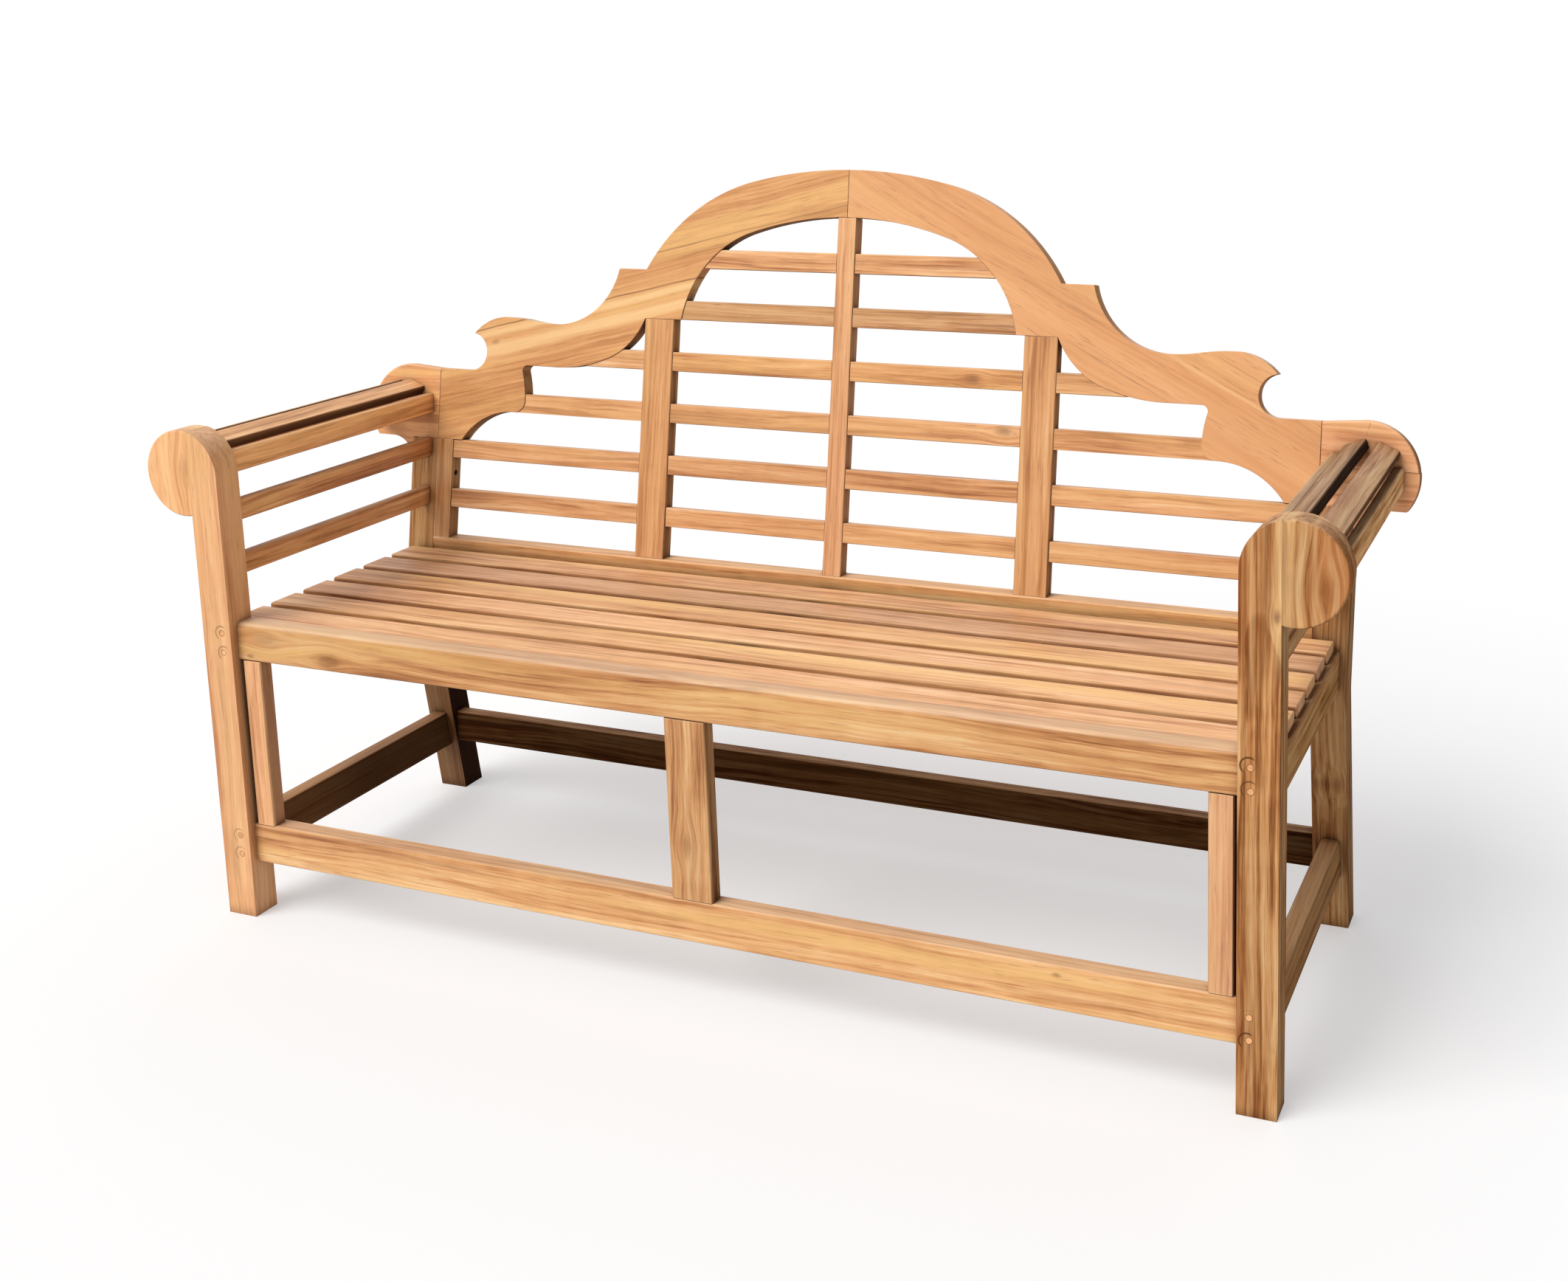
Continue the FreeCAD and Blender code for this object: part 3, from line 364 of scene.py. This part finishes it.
def drill_ring_shadow(tree, spot, normal, x, z, depth):
    """Strength of the painted shadow in one half of the ring that a drill left round a peg, on the front face."""
    offset = calc_vector(tree, "MULTIPLY", calc_vector(tree, "SUBTRACT", spot, (x, 0, z)), (1, 0, 1))
    gap = calc(tree, "ABSOLUTE", calc(tree, "SUBTRACT", calc_vector(tree, "LENGTH", offset), DRILL_RING))
    ring = smooth(tree, gap, 0.0005, 0.0018, depth, 0.0)
    side = facing(tree, offset, UPPER_LEFT, -0.004, 0.004)
    front = facing(tree, normal, FORWARD, 0.6, 0.9)
    return calc(tree, "MULTIPLY", ring, calc(tree, "MULTIPLY", side, front))


def teak(name, grain, seed, shaded=(), knots=(), lines=(), pale=(), drilled=(), ends=True, worn=True, gloss=0.3,
         bleach=0.3, **look):
    """Material of one piece: its grain direction, its own place in the wood, its look and its marks."""
    material, tree, shader = new_material("Teak_" + name)
    spot = add(tree, "ShaderNodeTexCoord").outputs["Object"]
    if grain == "cranked":
        spot = straightened(tree, spot)
    normal = add(tree, "ShaderNodeNewGeometry").outputs["Normal"]
    group = add(tree, "ShaderNodeGroup", node_tree=wood_group)
    for label, value in look.items():
        group.inputs[label].default_value = value
    place = turned(tree, spot, "POINT", grain, (2.37 * seed, 0.113 * (seed % 7), 0.171 * (seed % 11)))

    # knots pull the grain round themselves; dark and pale streaks follow the grain; half rings round the pegs are
    # painted shadow at the rims that the drills left
    marks = []
    for one in knots:
        place, mark = knot(tree, spot, grain, place, *one)
        marks.append(mark)
    marks += [streak(tree, spot, grain, *line) for line in lines]
    marks += [drill_ring_shadow(tree, spot, normal, *ring) for ring in drilled]
    if marks:
        link(tree, largest(tree, marks), group.inputs["Mark"])
    if pale:
        link(tree, largest(tree, [streak(tree, spot, grain, *band) for band in pale]), group.inputs["Pale"])
    link(tree, place, group.inputs["Place"])

    # how far the surface faces along the grain, how near it is to an edge for rubbed edges with a painted highlight,
    # how open it lies for painted shade in closed corners, and its painted shade, with duller roughness, on undersides
    # and on sides turned from the light
    if ends:
        along = parts_of(tree, turned(tree, normal, "NORMAL", grain))[0]
        link(tree, smooth(tree, calc(tree, "ABSOLUTE", along), 0.55, 0.95), group.inputs["End grain"])
    if worn:
        rounding = add(tree, "ShaderNodeBevel", samples=4)
        rounding.inputs["Radius"].default_value = 0.003
        flat = calc_vector(tree, "DOT_PRODUCT", rounding.outputs["Normal"], normal)
        link(tree, calc(tree, "MULTIPLY", calc(tree, "SUBTRACT", 1.0, flat), 4.0, clamp=True), group.inputs["Edge"])
    closed = add(tree, "ShaderNodeAmbientOcclusion", samples=6)
    closed.inputs["Distance"].default_value = 0.03
    link(tree, closed.outputs["AO"], group.inputs["Open"])
    shade = largest(tree, [facing(tree, normal, way, 0.3, 0.9, strength)
                           for way, strength in ((DOWN, 0.75), *shaded)])
    link(tree, shade, group.inputs["Shade"])
    # painted top light and sheen on faces that lie up
    link(tree, facing(tree, normal, UP, 0.35, 0.8, bleach), group.inputs["TopLight"])

    bump = add(tree, "ShaderNodeBump")
    bump.inputs["Strength"].default_value = 0.4
    bump.inputs["Distance"].default_value = 0.0005
    link(tree, group.outputs["Height"], bump.inputs["Height"])
    link(tree, group.outputs["Color"], shader.inputs["Base Color"])
    link(tree, calc(tree, "MAXIMUM", group.outputs["Roughness"], smooth(tree, shade, 0.0, 0.4)),
         shader.inputs["Roughness"])
    link(tree, bump.outputs["Normal"], shader.inputs["Normal"])
    shader.inputs["Specular IOR Level"].default_value = gloss
    return material


def seam(name, dark, light):
    """Line of dirt and shadow where two pieces meet."""
    material, tree, shader = new_material(name)
    patches = noise(tree, add(tree, "ShaderNodeTexCoord").outputs["Object"], (60, 60, 60), 3.0, 0.6)
    link(tree, ramp(tree, patches, [(0.35, dark), (0.65, light)]), shader.inputs["Base Color"])
    shader.inputs["Roughness"].default_value = 0.8
    return material


def steel():
    """Dull screw steel with fine scratches."""
    material, tree, shader = new_material("ScrewSteel")
    scratches = noise(tree, add(tree, "ShaderNodeTexCoord").outputs["Object"], (900, 900, 900), 3.0, 0.6)
    link(tree, ramp(tree, scratches, [(0.3, (0.38, 0.37, 0.35)), (0.7, (0.60, 0.59, 0.56))]),
         shader.inputs["Base Color"])
    shader.inputs["Metallic"].default_value = 1.0
    link(tree, calc(tree, "MULTIPLY_ADD", scratches, 0.3, 0.25), shader.inputs["Roughness"])
    return material


def on_back(x, rise):
    """A point on the leaning front face of the back."""
    return x, BACK_FOOT_Y + rise * math.sin(LEAN), BACK_FOOT_Z + rise * math.cos(LEAN)


# Faces turned away from the light or shadowed by a neighbour, and how far each is darkened with painted shade
BAR_SIDES = [(LEFT, 0.35), (RIGHT, 0.5)]
SEAT_EDGES = [(FORWARD, 0.3), (RIGHT, 0.3)]
ARM_SIDES = [(LEFT, 0.9), (RIGHT, 0.9)]
CREST_SIDES = [(DOWN, 0.9), (RIGHT, 0.5), (LEFT, 0.4)]

# Grain and look of each kind of piece, by the start of its name or names. Knots have a place, a size and a depth.
# Lines and pale streaks have a place, a width, a strength and a length. Drill shadows, painted shadow in half rings
# round the pegs, have X, Z and a depth.
KINDS = [
    ("front_leg_left", "z", dict(
        Tone=1.16, Contrast=0.5, Bands=0.5, Streaks=0.1, Gold=0.4, Pink=0.5, worn=False, ends=False,
        shaded=[(RIGHT, 0.12)],
        pale=[(-0.735, LEG_FACE, 0.25, 0.02, 0.25, 0.3)],
        drilled=[(-0.730, 0.421, 0.5), (-0.728, 0.392, 0.5), (-0.731, 0.121, 0.35), (-0.731, 0.094, 0.35)])),
    ("front_leg_right", "z", dict(
        Tone=0.86, Contrast=1.3, Streaks=0.4, Rings=0.9, Red=1.0, Gold=0.1, worn=False, ends=False, gloss=0.03,
        shaded=[(RIGHT, 0.5)],
        pale=[(0.760, LEG_FACE, 0.65, 0.007, 0.45, 0.14), (0.7295, LEG_FACE, 0.62, 0.003, 0.3, 0.16)],
        lines=[(0.7215, LEG_FACE, 0.6, 0.003, 0.25), (0.7348, LEG_FACE, 0.6, 0.001, 0.35),
               (0.7395, LEG_FACE, 0.6, 0.001, 0.35), (0.746, LEG_FACE, 0.65, 0.006, 0.3, 0.16),
               (0.738, LEG_FACE, 0.14, 0.035, 0.2, 0.30)],
        knots=[(0.757, LEG_FACE, 0.597, 0.004, 0.6)],
        drilled=[(0.727, 0.423, 0.9), (0.728, 0.395, 0.7), (0.728, 0.121, 0.3), (0.727, 0.093, 0.9)])),
    ("front_scroll_block_left", "z", dict(
        Tone=1.17, Contrast=0.45, Streaks=0.1, Rings=0.4, Gold=1.0, Red=0.0, Pink=0.2, worn=False, ends=False,
        knots=[(-0.767, LEG_FACE, 0.652, 0.012, 0.15)])),
    ("front_scroll_block_right", "z", dict(
        Tone=0.88, Contrast=1.2, Streaks=0.4, Rings=0.9, Red=1.0, Gold=0.15, worn=False, ends=False, gloss=0.03,
        shaded=[(RIGHT, 0.45)],
        pale=[(0.768, LEG_FACE, 0.66, 0.009, 0.35, 0.14), (0.798, LEG_FACE, 0.6, 0.003, 0.25)],
        lines=[(0.7915, LEG_FACE, 0.6, 0.001, 0.35), (0.785, LEG_FACE, 0.68, 0.012, 0.2, 0.10)],
        knots=[(0.810, LEG_FACE, 0.630, 0.012, 0.2)])),
    ("rear_leg_left", "cranked", dict(
        Tone=0.80, Contrast=1.0, worn=False, gloss=0.1, shaded=[(RIGHT, 1.0)],
        # the broad dark streak low on the leg is painted shade under the seat
        lines=[(-0.735, 0.139, 0.02, 0.05, 0.8, 0.32)])),
    ("rear_leg", "cranked", dict(
        Tone=0.54, Contrast=1.3, Streaks=0.7, Rings=0.9, Red=0.8, Gold=0.1, worn=False, gloss=0.03,
        shaded=[(RIGHT, 0.4)],
        knots=[(x, 0.139, 0.221, 0.006, 0.5) for x in (0.720, 0.735, 0.750)])),
    (("rear_scroll_upper_left", "rear_scroll_lower_left"), "lean_x", dict(
        Tone=1.24, Contrast=0.45, Streaks=0.15, Gold=0.7, Pink=0.3, worn=False)),
    ("rear_scroll", "lean_x", dict(
        Tone=1.27, Contrast=0.45, Streaks=0.15, Pink=1.0, worn=False, gloss=0.1, shaded=[(RIGHT, 0.7)])),
    ("crest_rail_left", "crest_left", dict(
        Tone=1.03, Contrast=0.5, Bands=0.5, Rings=0.35, Streaks=0.1, Gold=0.5, worn=False, shaded=CREST_SIDES,
        lines=[(*on_back(-0.475, 0.377), 0.0014, 0.6), (*on_back(-0.264, 0.483), 0.0014, 0.4)],
        pale=[(*on_back(-0.3725, 0.367), 0.009, 0.7), (*on_back(-0.361, 0.395), 0.006, 0.6),
              (*on_back(-0.574, 0.315), 0.012, 0.5, 0.15)],
        knots=[(*on_back(-0.611, 0.319), 0.004, 0.4)])),
    ("crest_rail_right", "crest_right", dict(
        Tone=1.14, Contrast=0.18, Pink=0.4, Bands=0.35, Rings=0.1, Streaks=0.0, worn=False, shaded=CREST_SIDES,
        lines=[(*on_back(0.432, 0.3205), 0.0014, 0.2, 0.12), (*on_back(0.436, 0.3275), 0.0014, 0.15, 0.1),
               (*on_back(0.354, 0.412), 0.005, 0.08, 0.12), (*on_back(0.604, 0.332), 0.0014, 0.15, 0.06)],
        pale=[(*on_back(0.570, 0.3135), 0.0025, 0.3, 0.12)])),
    ("side_stretcher_left", "y", dict(
        # the broad dark streak at the rear of the inner face is painted shade under the seat
        Tone=0.70, gloss=0.05, shaded=[(RIGHT, 0.82)], lines=[(-0.725, 0.16, 0.104, 0.05, 0.6, 0.34)])),
    ("side_stretcher_right", "y", dict(Tone=0.80, Contrast=0.9, gloss=0.03, shaded=[(LEFT, 0.85), (RIGHT, 0.5)])),
    ("side_", "y", dict(Tone=0.52, Contrast=1.1, Red=0.5, Gold=0.2, gloss=0.0)),
    ("seat_bearer", "y", dict(Tone=0.85)),
    ("seat_slat_2", "x", dict(Tone=1.24, Gold=0.7, Streaks=0.7, Contrast=1.0, shaded=SEAT_EDGES)),
    ("seat_slat_4", "x", dict(Tone=1.18, Gold=0.7, Streaks=0.4, Contrast=0.9, shaded=SEAT_EDGES)),
    ("seat_slat_5", "x", dict(Tone=1.05, Pink=0.8, Streaks=0.45, Contrast=0.9, shaded=SEAT_EDGES)),
    ("seat_slat_6", "x", dict(Tone=1.16, Pink=0.3, Gold=0.5, Streaks=0.45, Contrast=0.9, shaded=SEAT_EDGES)),
    ("seat_slat", "x", dict(Tone=1.22, Pink=0.45, Streaks=0.45, Contrast=0.9, shaded=SEAT_EDGES)),
    ("arm_slat_top_right", "y", dict(
        Tone=0.62, Grey=0.4, gloss=0.1, Contrast=1.6, Rings=1.0, Red=0.5, shaded=ARM_SIDES)),
    ("arm_slat_shoulder_right", "y", dict(
        Tone=0.94, Grey=0.25, gloss=0.1, Contrast=1.6, Rings=1.0, Red=0.8, shaded=ARM_SIDES)),
    ("arm_slat_outer_right", "y", dict(Tone=0.97, Grey=0.45, gloss=0.0, Contrast=1.4, Rings=0.9)),
    ("arm_slat_inner_right", "y", dict(Tone=0.80, Grey=0.4, Contrast=1.3, Rings=0.9)),
    (("arm_slat_middle_right", "arm_slat_low_right"), "y", dict(
        Tone=0.92, Grey=0.2, Contrast=1.3, Rings=0.9, gloss=0.03, shaded=[(RIGHT, 0.4)])),
    ("arm_slat_top", "y", dict(Tone=1.30, Contrast=0.9, Red=0.2, Streaks=0.4, shaded=ARM_SIDES)),
    ("arm_slat_shoulder", "y", dict(Tone=1.0, Contrast=0.9, Red=0.4, Streaks=0.5, shaded=ARM_SIDES)),
    ("arm_slat_inner_left", "y", dict(Tone=1.32, Contrast=0.9, Red=0.3, Streaks=0.4)),
    ("arm_slat_low_left", "y", dict(Tone=1.04, Contrast=1.0, Red=0.9, Streaks=0.5)),
    ("arm_slat", "y", dict(Tone=1.10, Contrast=0.9, Red=0.6, Streaks=0.5)),
    ("front_upright_centre", "z", dict(
        Tone=0.88, Streaks=0.6, Contrast=1.1, Red=0.8, Gold=0.1, shaded=BAR_SIDES,
        knots=[(-0.004, RAIL_FACE, 0.211, 0.008, 0.3)])),
    ("front_upright_right", "z", dict(Tone=1.03, Contrast=0.6, Pink=0.8, shaded=BAR_SIDES)),
    ("front_upright", "z", dict(Tone=1.18, Contrast=0.6, Pink=0.9, shaded=BAR_SIDES)),
    ("middle_stile", "lean_z", dict(Tone=1.09, Contrast=0.6, Pink=0.7, shaded=BAR_SIDES)),
    ("wide_stile", "lean_z", dict(Tone=1.0, Pink=0.2, Contrast=0.6, shaded=BAR_SIDES)),
    ("end_stile", "lean_z", dict(Tone=0.96, Contrast=0.7, shaded=BAR_SIDES)),
    ("back_slat_centre_5", "lean_x", dict(Tone=0.88, Pink=0.4, Streaks=0.5, Contrast=0.9)),
    ("back_slat_centre_4", "lean_x", dict(
        Tone=1.06, Gold=0.8, Streaks=0.4, knots=[(*on_back(0.211, 0.301), 0.006, 0.5)])),
    ("back_slat_centre_3", "lean_x", dict(Tone=1.06, Pink=0.4, knots=[(*on_back(0.262, 0.230), 0.007, 0.5)])),
    ("back_slat", "lean_x", dict(Tone=1.06, Pink=0.4, Streaks=0.5, Contrast=0.8)),
    ("rear_seat_rail", "x", dict(Tone=1.05)),
    # darker tone and painted shade on the front face, standing for the shade under the seat
    ("rear_stretcher", "x", dict(Tone=0.62, Streaks=0.9, Contrast=1.6, gloss=0.02, shaded=[(FORWARD, 0.9)])),
    ("front_seat_rail", "x", dict(
        Tone=0.90, Bands=1.3, Contrast=0.9, Rings=0.5, Streaks=0.45, Gold=0.75, Red=0.5, gloss=0.2, bleach=1.0,
        knots=[(-0.664, RAIL_FACE, 0.414, 0.010, 0.25), (-0.693, RAIL_FACE, 0.388, 0.003, 0.5),
               (-0.560, RAIL_FACE, 0.394, 0.009, 0.25)])),
    ("front_", "x", dict(
        Tone=1.04, Bands=1.0, Contrast=0.8, Rings=0.4, Streaks=0.4, Gold=0.6, bleach=0.5,
        knots=[(0.494, RAIL_FACE, 0.125, 0.003, 0.5)])),
    ("leg_pegs", "y", dict(Tone=1.2, Contrast=0.5, Streaks=0.0, Pink=0.4, ends=False, worn=False)),
]
TONE_SWING = 0.03

# Width of the rounding at open edges, by the start of a piece's name
ROUNDING = [("leg_pegs", 0.0006), ("front_leg", 0.0035), ("front_scroll_block", 0.006), ("rear_scroll", 0.004),
            ("rear_leg", 0.003), ("crest_rail", 0.0025), ("arm_slat", 0.0022), ("seat_slat", 0.0022),
            ("back_slat", 0.0016), ("", 0.002)]
# Width of the line left where a neighbour touches, finer where the two are glued
SEAM_WIDTH = 0.0007
GLUE_WIDTH = 0.0002
GLUED = ("front_leg", "front_scroll_block")
# Edges sharper than this are rounded, points nearer than this touch, and points nearer still are the same
SHARP = math.radians(32)
TOUCH = 0.0003
SAME = 1e-5
KEYS_TO_METRE = 1e5
FLAT = math.radians(0.5)


def key_of(point):
    """A point's place on a fine grid, the same for all faces that share it."""
    return tuple(round(value * KEYS_TO_METRE) for value in point)


def collect_faces():
    """One search tree over the faces of all pieces, and the piece that owns each face."""
    points, faces, owners = [], [], []
    for name, piece in nodes.items():
        start = len(points)
        points += [vertex.co.copy() for vertex in piece.data.vertices]
        for face in piece.data.polygons:
            faces.append([start + index for index in face.vertices])
            owners.append(name)
    return BVHTree.FromPolygons(points, faces), owners


def weigh_edges(name, mesh, tree, owners):
    """Marks each sharp edge as a seam where a neighbour touches most of it, and otherwise as open."""
    beside = {}
    for face in mesh.polygons:
        corners = [key_of(mesh.vertices[index].co) for index in face.vertices]
        for pair in zip(corners, corners[1:] + corners[:1]):
            beside.setdefault(frozenset(pair), []).append(face.normal.copy())
    for label in ("open_edge", "seam_edge"):
        mesh.attributes.new(label, "FLOAT", "EDGE")
    open_edges, seam_edges = mesh.attributes["open_edge"].data, mesh.attributes["seam_edge"].data
    for edge in mesh.edges:
        first, last = (mesh.vertices[index].co for index in edge.vertices)
        normals = beside.get(frozenset((key_of(first), key_of(last))), [])
        if len(normals) != 2 or normals[0].angle(normals[1], 0.0) < SHARP:
            continue
        spots = [first.lerp(last, share) for share in (0.15, 0.5, 0.85)]
        touching = sum(any(owners[hit[2]] != name for hit in tree.find_nearest_range(spot, TOUCH)) for spot in spots)
        weights = seam_edges if touching > 1 else open_edges
        weights[edge.index].value = 1.0


def round_edges(piece, width, seam_width):
    """Rounds the open edges, and cuts a fine seam along those that a neighbour touches."""
    weld = piece.modifiers.new("JoinFaces", "WELD")
    weld.merge_threshold = SAME
    flat = piece.modifiers.new("WholeFaces", "DECIMATE")
    flat.decimate_type = "DISSOLVE"
    flat.angle_limit = FLAT
    for label, size, steps, attribute, slot in (("Seams", seam_width, 1, "seam_edge", 1),
                                                ("EasedEdges", width, 3, "open_edge", -1)):
        bevel = piece.modifiers.new(label, "BEVEL")
        bevel.width = size
        bevel.segments = steps
        bevel.limit_method = "WEIGHT"
        bevel.edge_weight = attribute
        bevel.material = slot
    weighted = piece.modifiers.new("FaceNormals", "WEIGHTED_NORMAL")
    weighted.keep_sharp = False


face_tree, face_owners = collect_faces()
open_seam = seam("TeakSeam", (0.14, 0.060, 0.025), (0.40, 0.195, 0.080))
glued_seam = seam("TeakGlueLine", (0.40, 0.20, 0.085), (0.62, 0.34, 0.15))
for seed, name in enumerate(sorted(nodes), start=1):
    piece = nodes[name]
    piece.data.materials.clear()
    if name == "back_panel_screws":
        piece.data.materials.append(steel())
        continue
    grain, look = next((grain, look) for start, grain, look in KINDS if name.startswith(start))
    tone = look["Tone"] + TONE_SWING * math.sin(2.4 * seed)
    piece.data.materials.append(teak(name, grain, seed, **dict(look, Tone=tone)))
    glued = name.startswith(GLUED)
    piece.data.materials.append(glued_seam if glued else open_seam)
    width = next(size for start, size in ROUNDING if name.startswith(start))
    weigh_edges(name, piece.data, face_tree, face_owners)
    round_edges(piece, width, GLUE_WIDTH if glued else SEAM_WIDTH)

# Pale floor that reaches to the horizon
FLOOR_HALF = 300
FLOOR_GREY = (0.62, 0.62, 0.62, 1)
FLOOR_GLOW = 0.36
floor_mesh = bpy.data.meshes.new("Floor")
floor_mesh.from_pydata([(x * FLOOR_HALF, y * FLOOR_HALF, 0) for x, y in ((-1, -1), (1, -1), (1, 1), (-1, 1))],
                       [], [(0, 1, 2, 3)])
floor = bpy.data.objects.new("Floor", floor_mesh)
scene.collection.objects.link(floor)
floor_material, _, floor_shader = new_material("PaleFloor")
floor_shader.inputs["Base Color"].default_value = FLOOR_GREY
floor_shader.inputs["Emission Color"].default_value = (1, 1, 1, 1)
floor_shader.inputs["Emission Strength"].default_value = FLOOR_GLOW
floor_shader.inputs["Roughness"].default_value = 0.9
floor_shader.inputs["Specular IOR Level"].default_value = 0.0
floor_mesh.materials.append(floor_material)

# Sky that is white at the horizon, bright behind the bench, dimmer above and dimmest on the right
HORIZON = (1.06, 1.06, 1.06)
DOME = (0.46, 0.47, 0.49)
BEHIND = (1.0, 1.0, 1.04)
ON_RIGHT = (0.22, 0.22, 0.23)
world = bpy.data.worlds.new("Studio")
scene.world = world
world.use_nodes = True
sky = world.node_tree
east, north, height = parts_of(sky, add(sky, "ShaderNodeTexCoord").outputs["Generated"])
dome = mix(sky, smooth(sky, north, 0.1, 0.9, 0.0, 0.8), DOME, BEHIND)
dim = calc(sky, "MULTIPLY", smooth(sky, east, 0.05, 0.75, 0.0, 0.75), smooth(sky, height, 0.03, 0.09))
light = mix(sky, dim, mix(sky, smooth(sky, height, 0.04, 0.22), HORIZON, dome), ON_RIGHT)
link(sky, light, sky.nodes["Background"].inputs["Color"])
sky.nodes["Background"].inputs["Strength"].default_value = 1.0

# Broad soft key light from the upper left in front
KEY_WAY = (0.42, 0.62, -0.80)
key = bpy.data.lights.new("Key", "SUN")
key.energy = 2.4
key.angle = math.radians(45)
key.color = (1.0, 0.985, 0.96)
lamp = bpy.data.objects.new("Key", key)
lamp.rotation_euler = Vector(KEY_WAY).to_track_quat("-Z", "Y").to_euler()
scene.collection.objects.link(lamp)

scene.view_settings.view_transform = "Standard"

# Camera of the photograph, solved from the bench's own straight lines
camera_data = bpy.data.cameras.new("Camera")
camera = bpy.data.objects.new("Camera", camera_data)
scene.collection.objects.link(camera)
scene.camera = camera
camera.location = (1.1356, -2.0573, 1.2100)
camera.rotation_euler = tuple(math.radians(angle) for angle in (80.6587, 0.8574, 20.2511))
camera_data.sensor_width = 36.0
camera_data.lens = 39.834
camera_data.shift_x = -0.1551
camera_data.shift_y = -0.1967
camera_data.clip_end = 1000
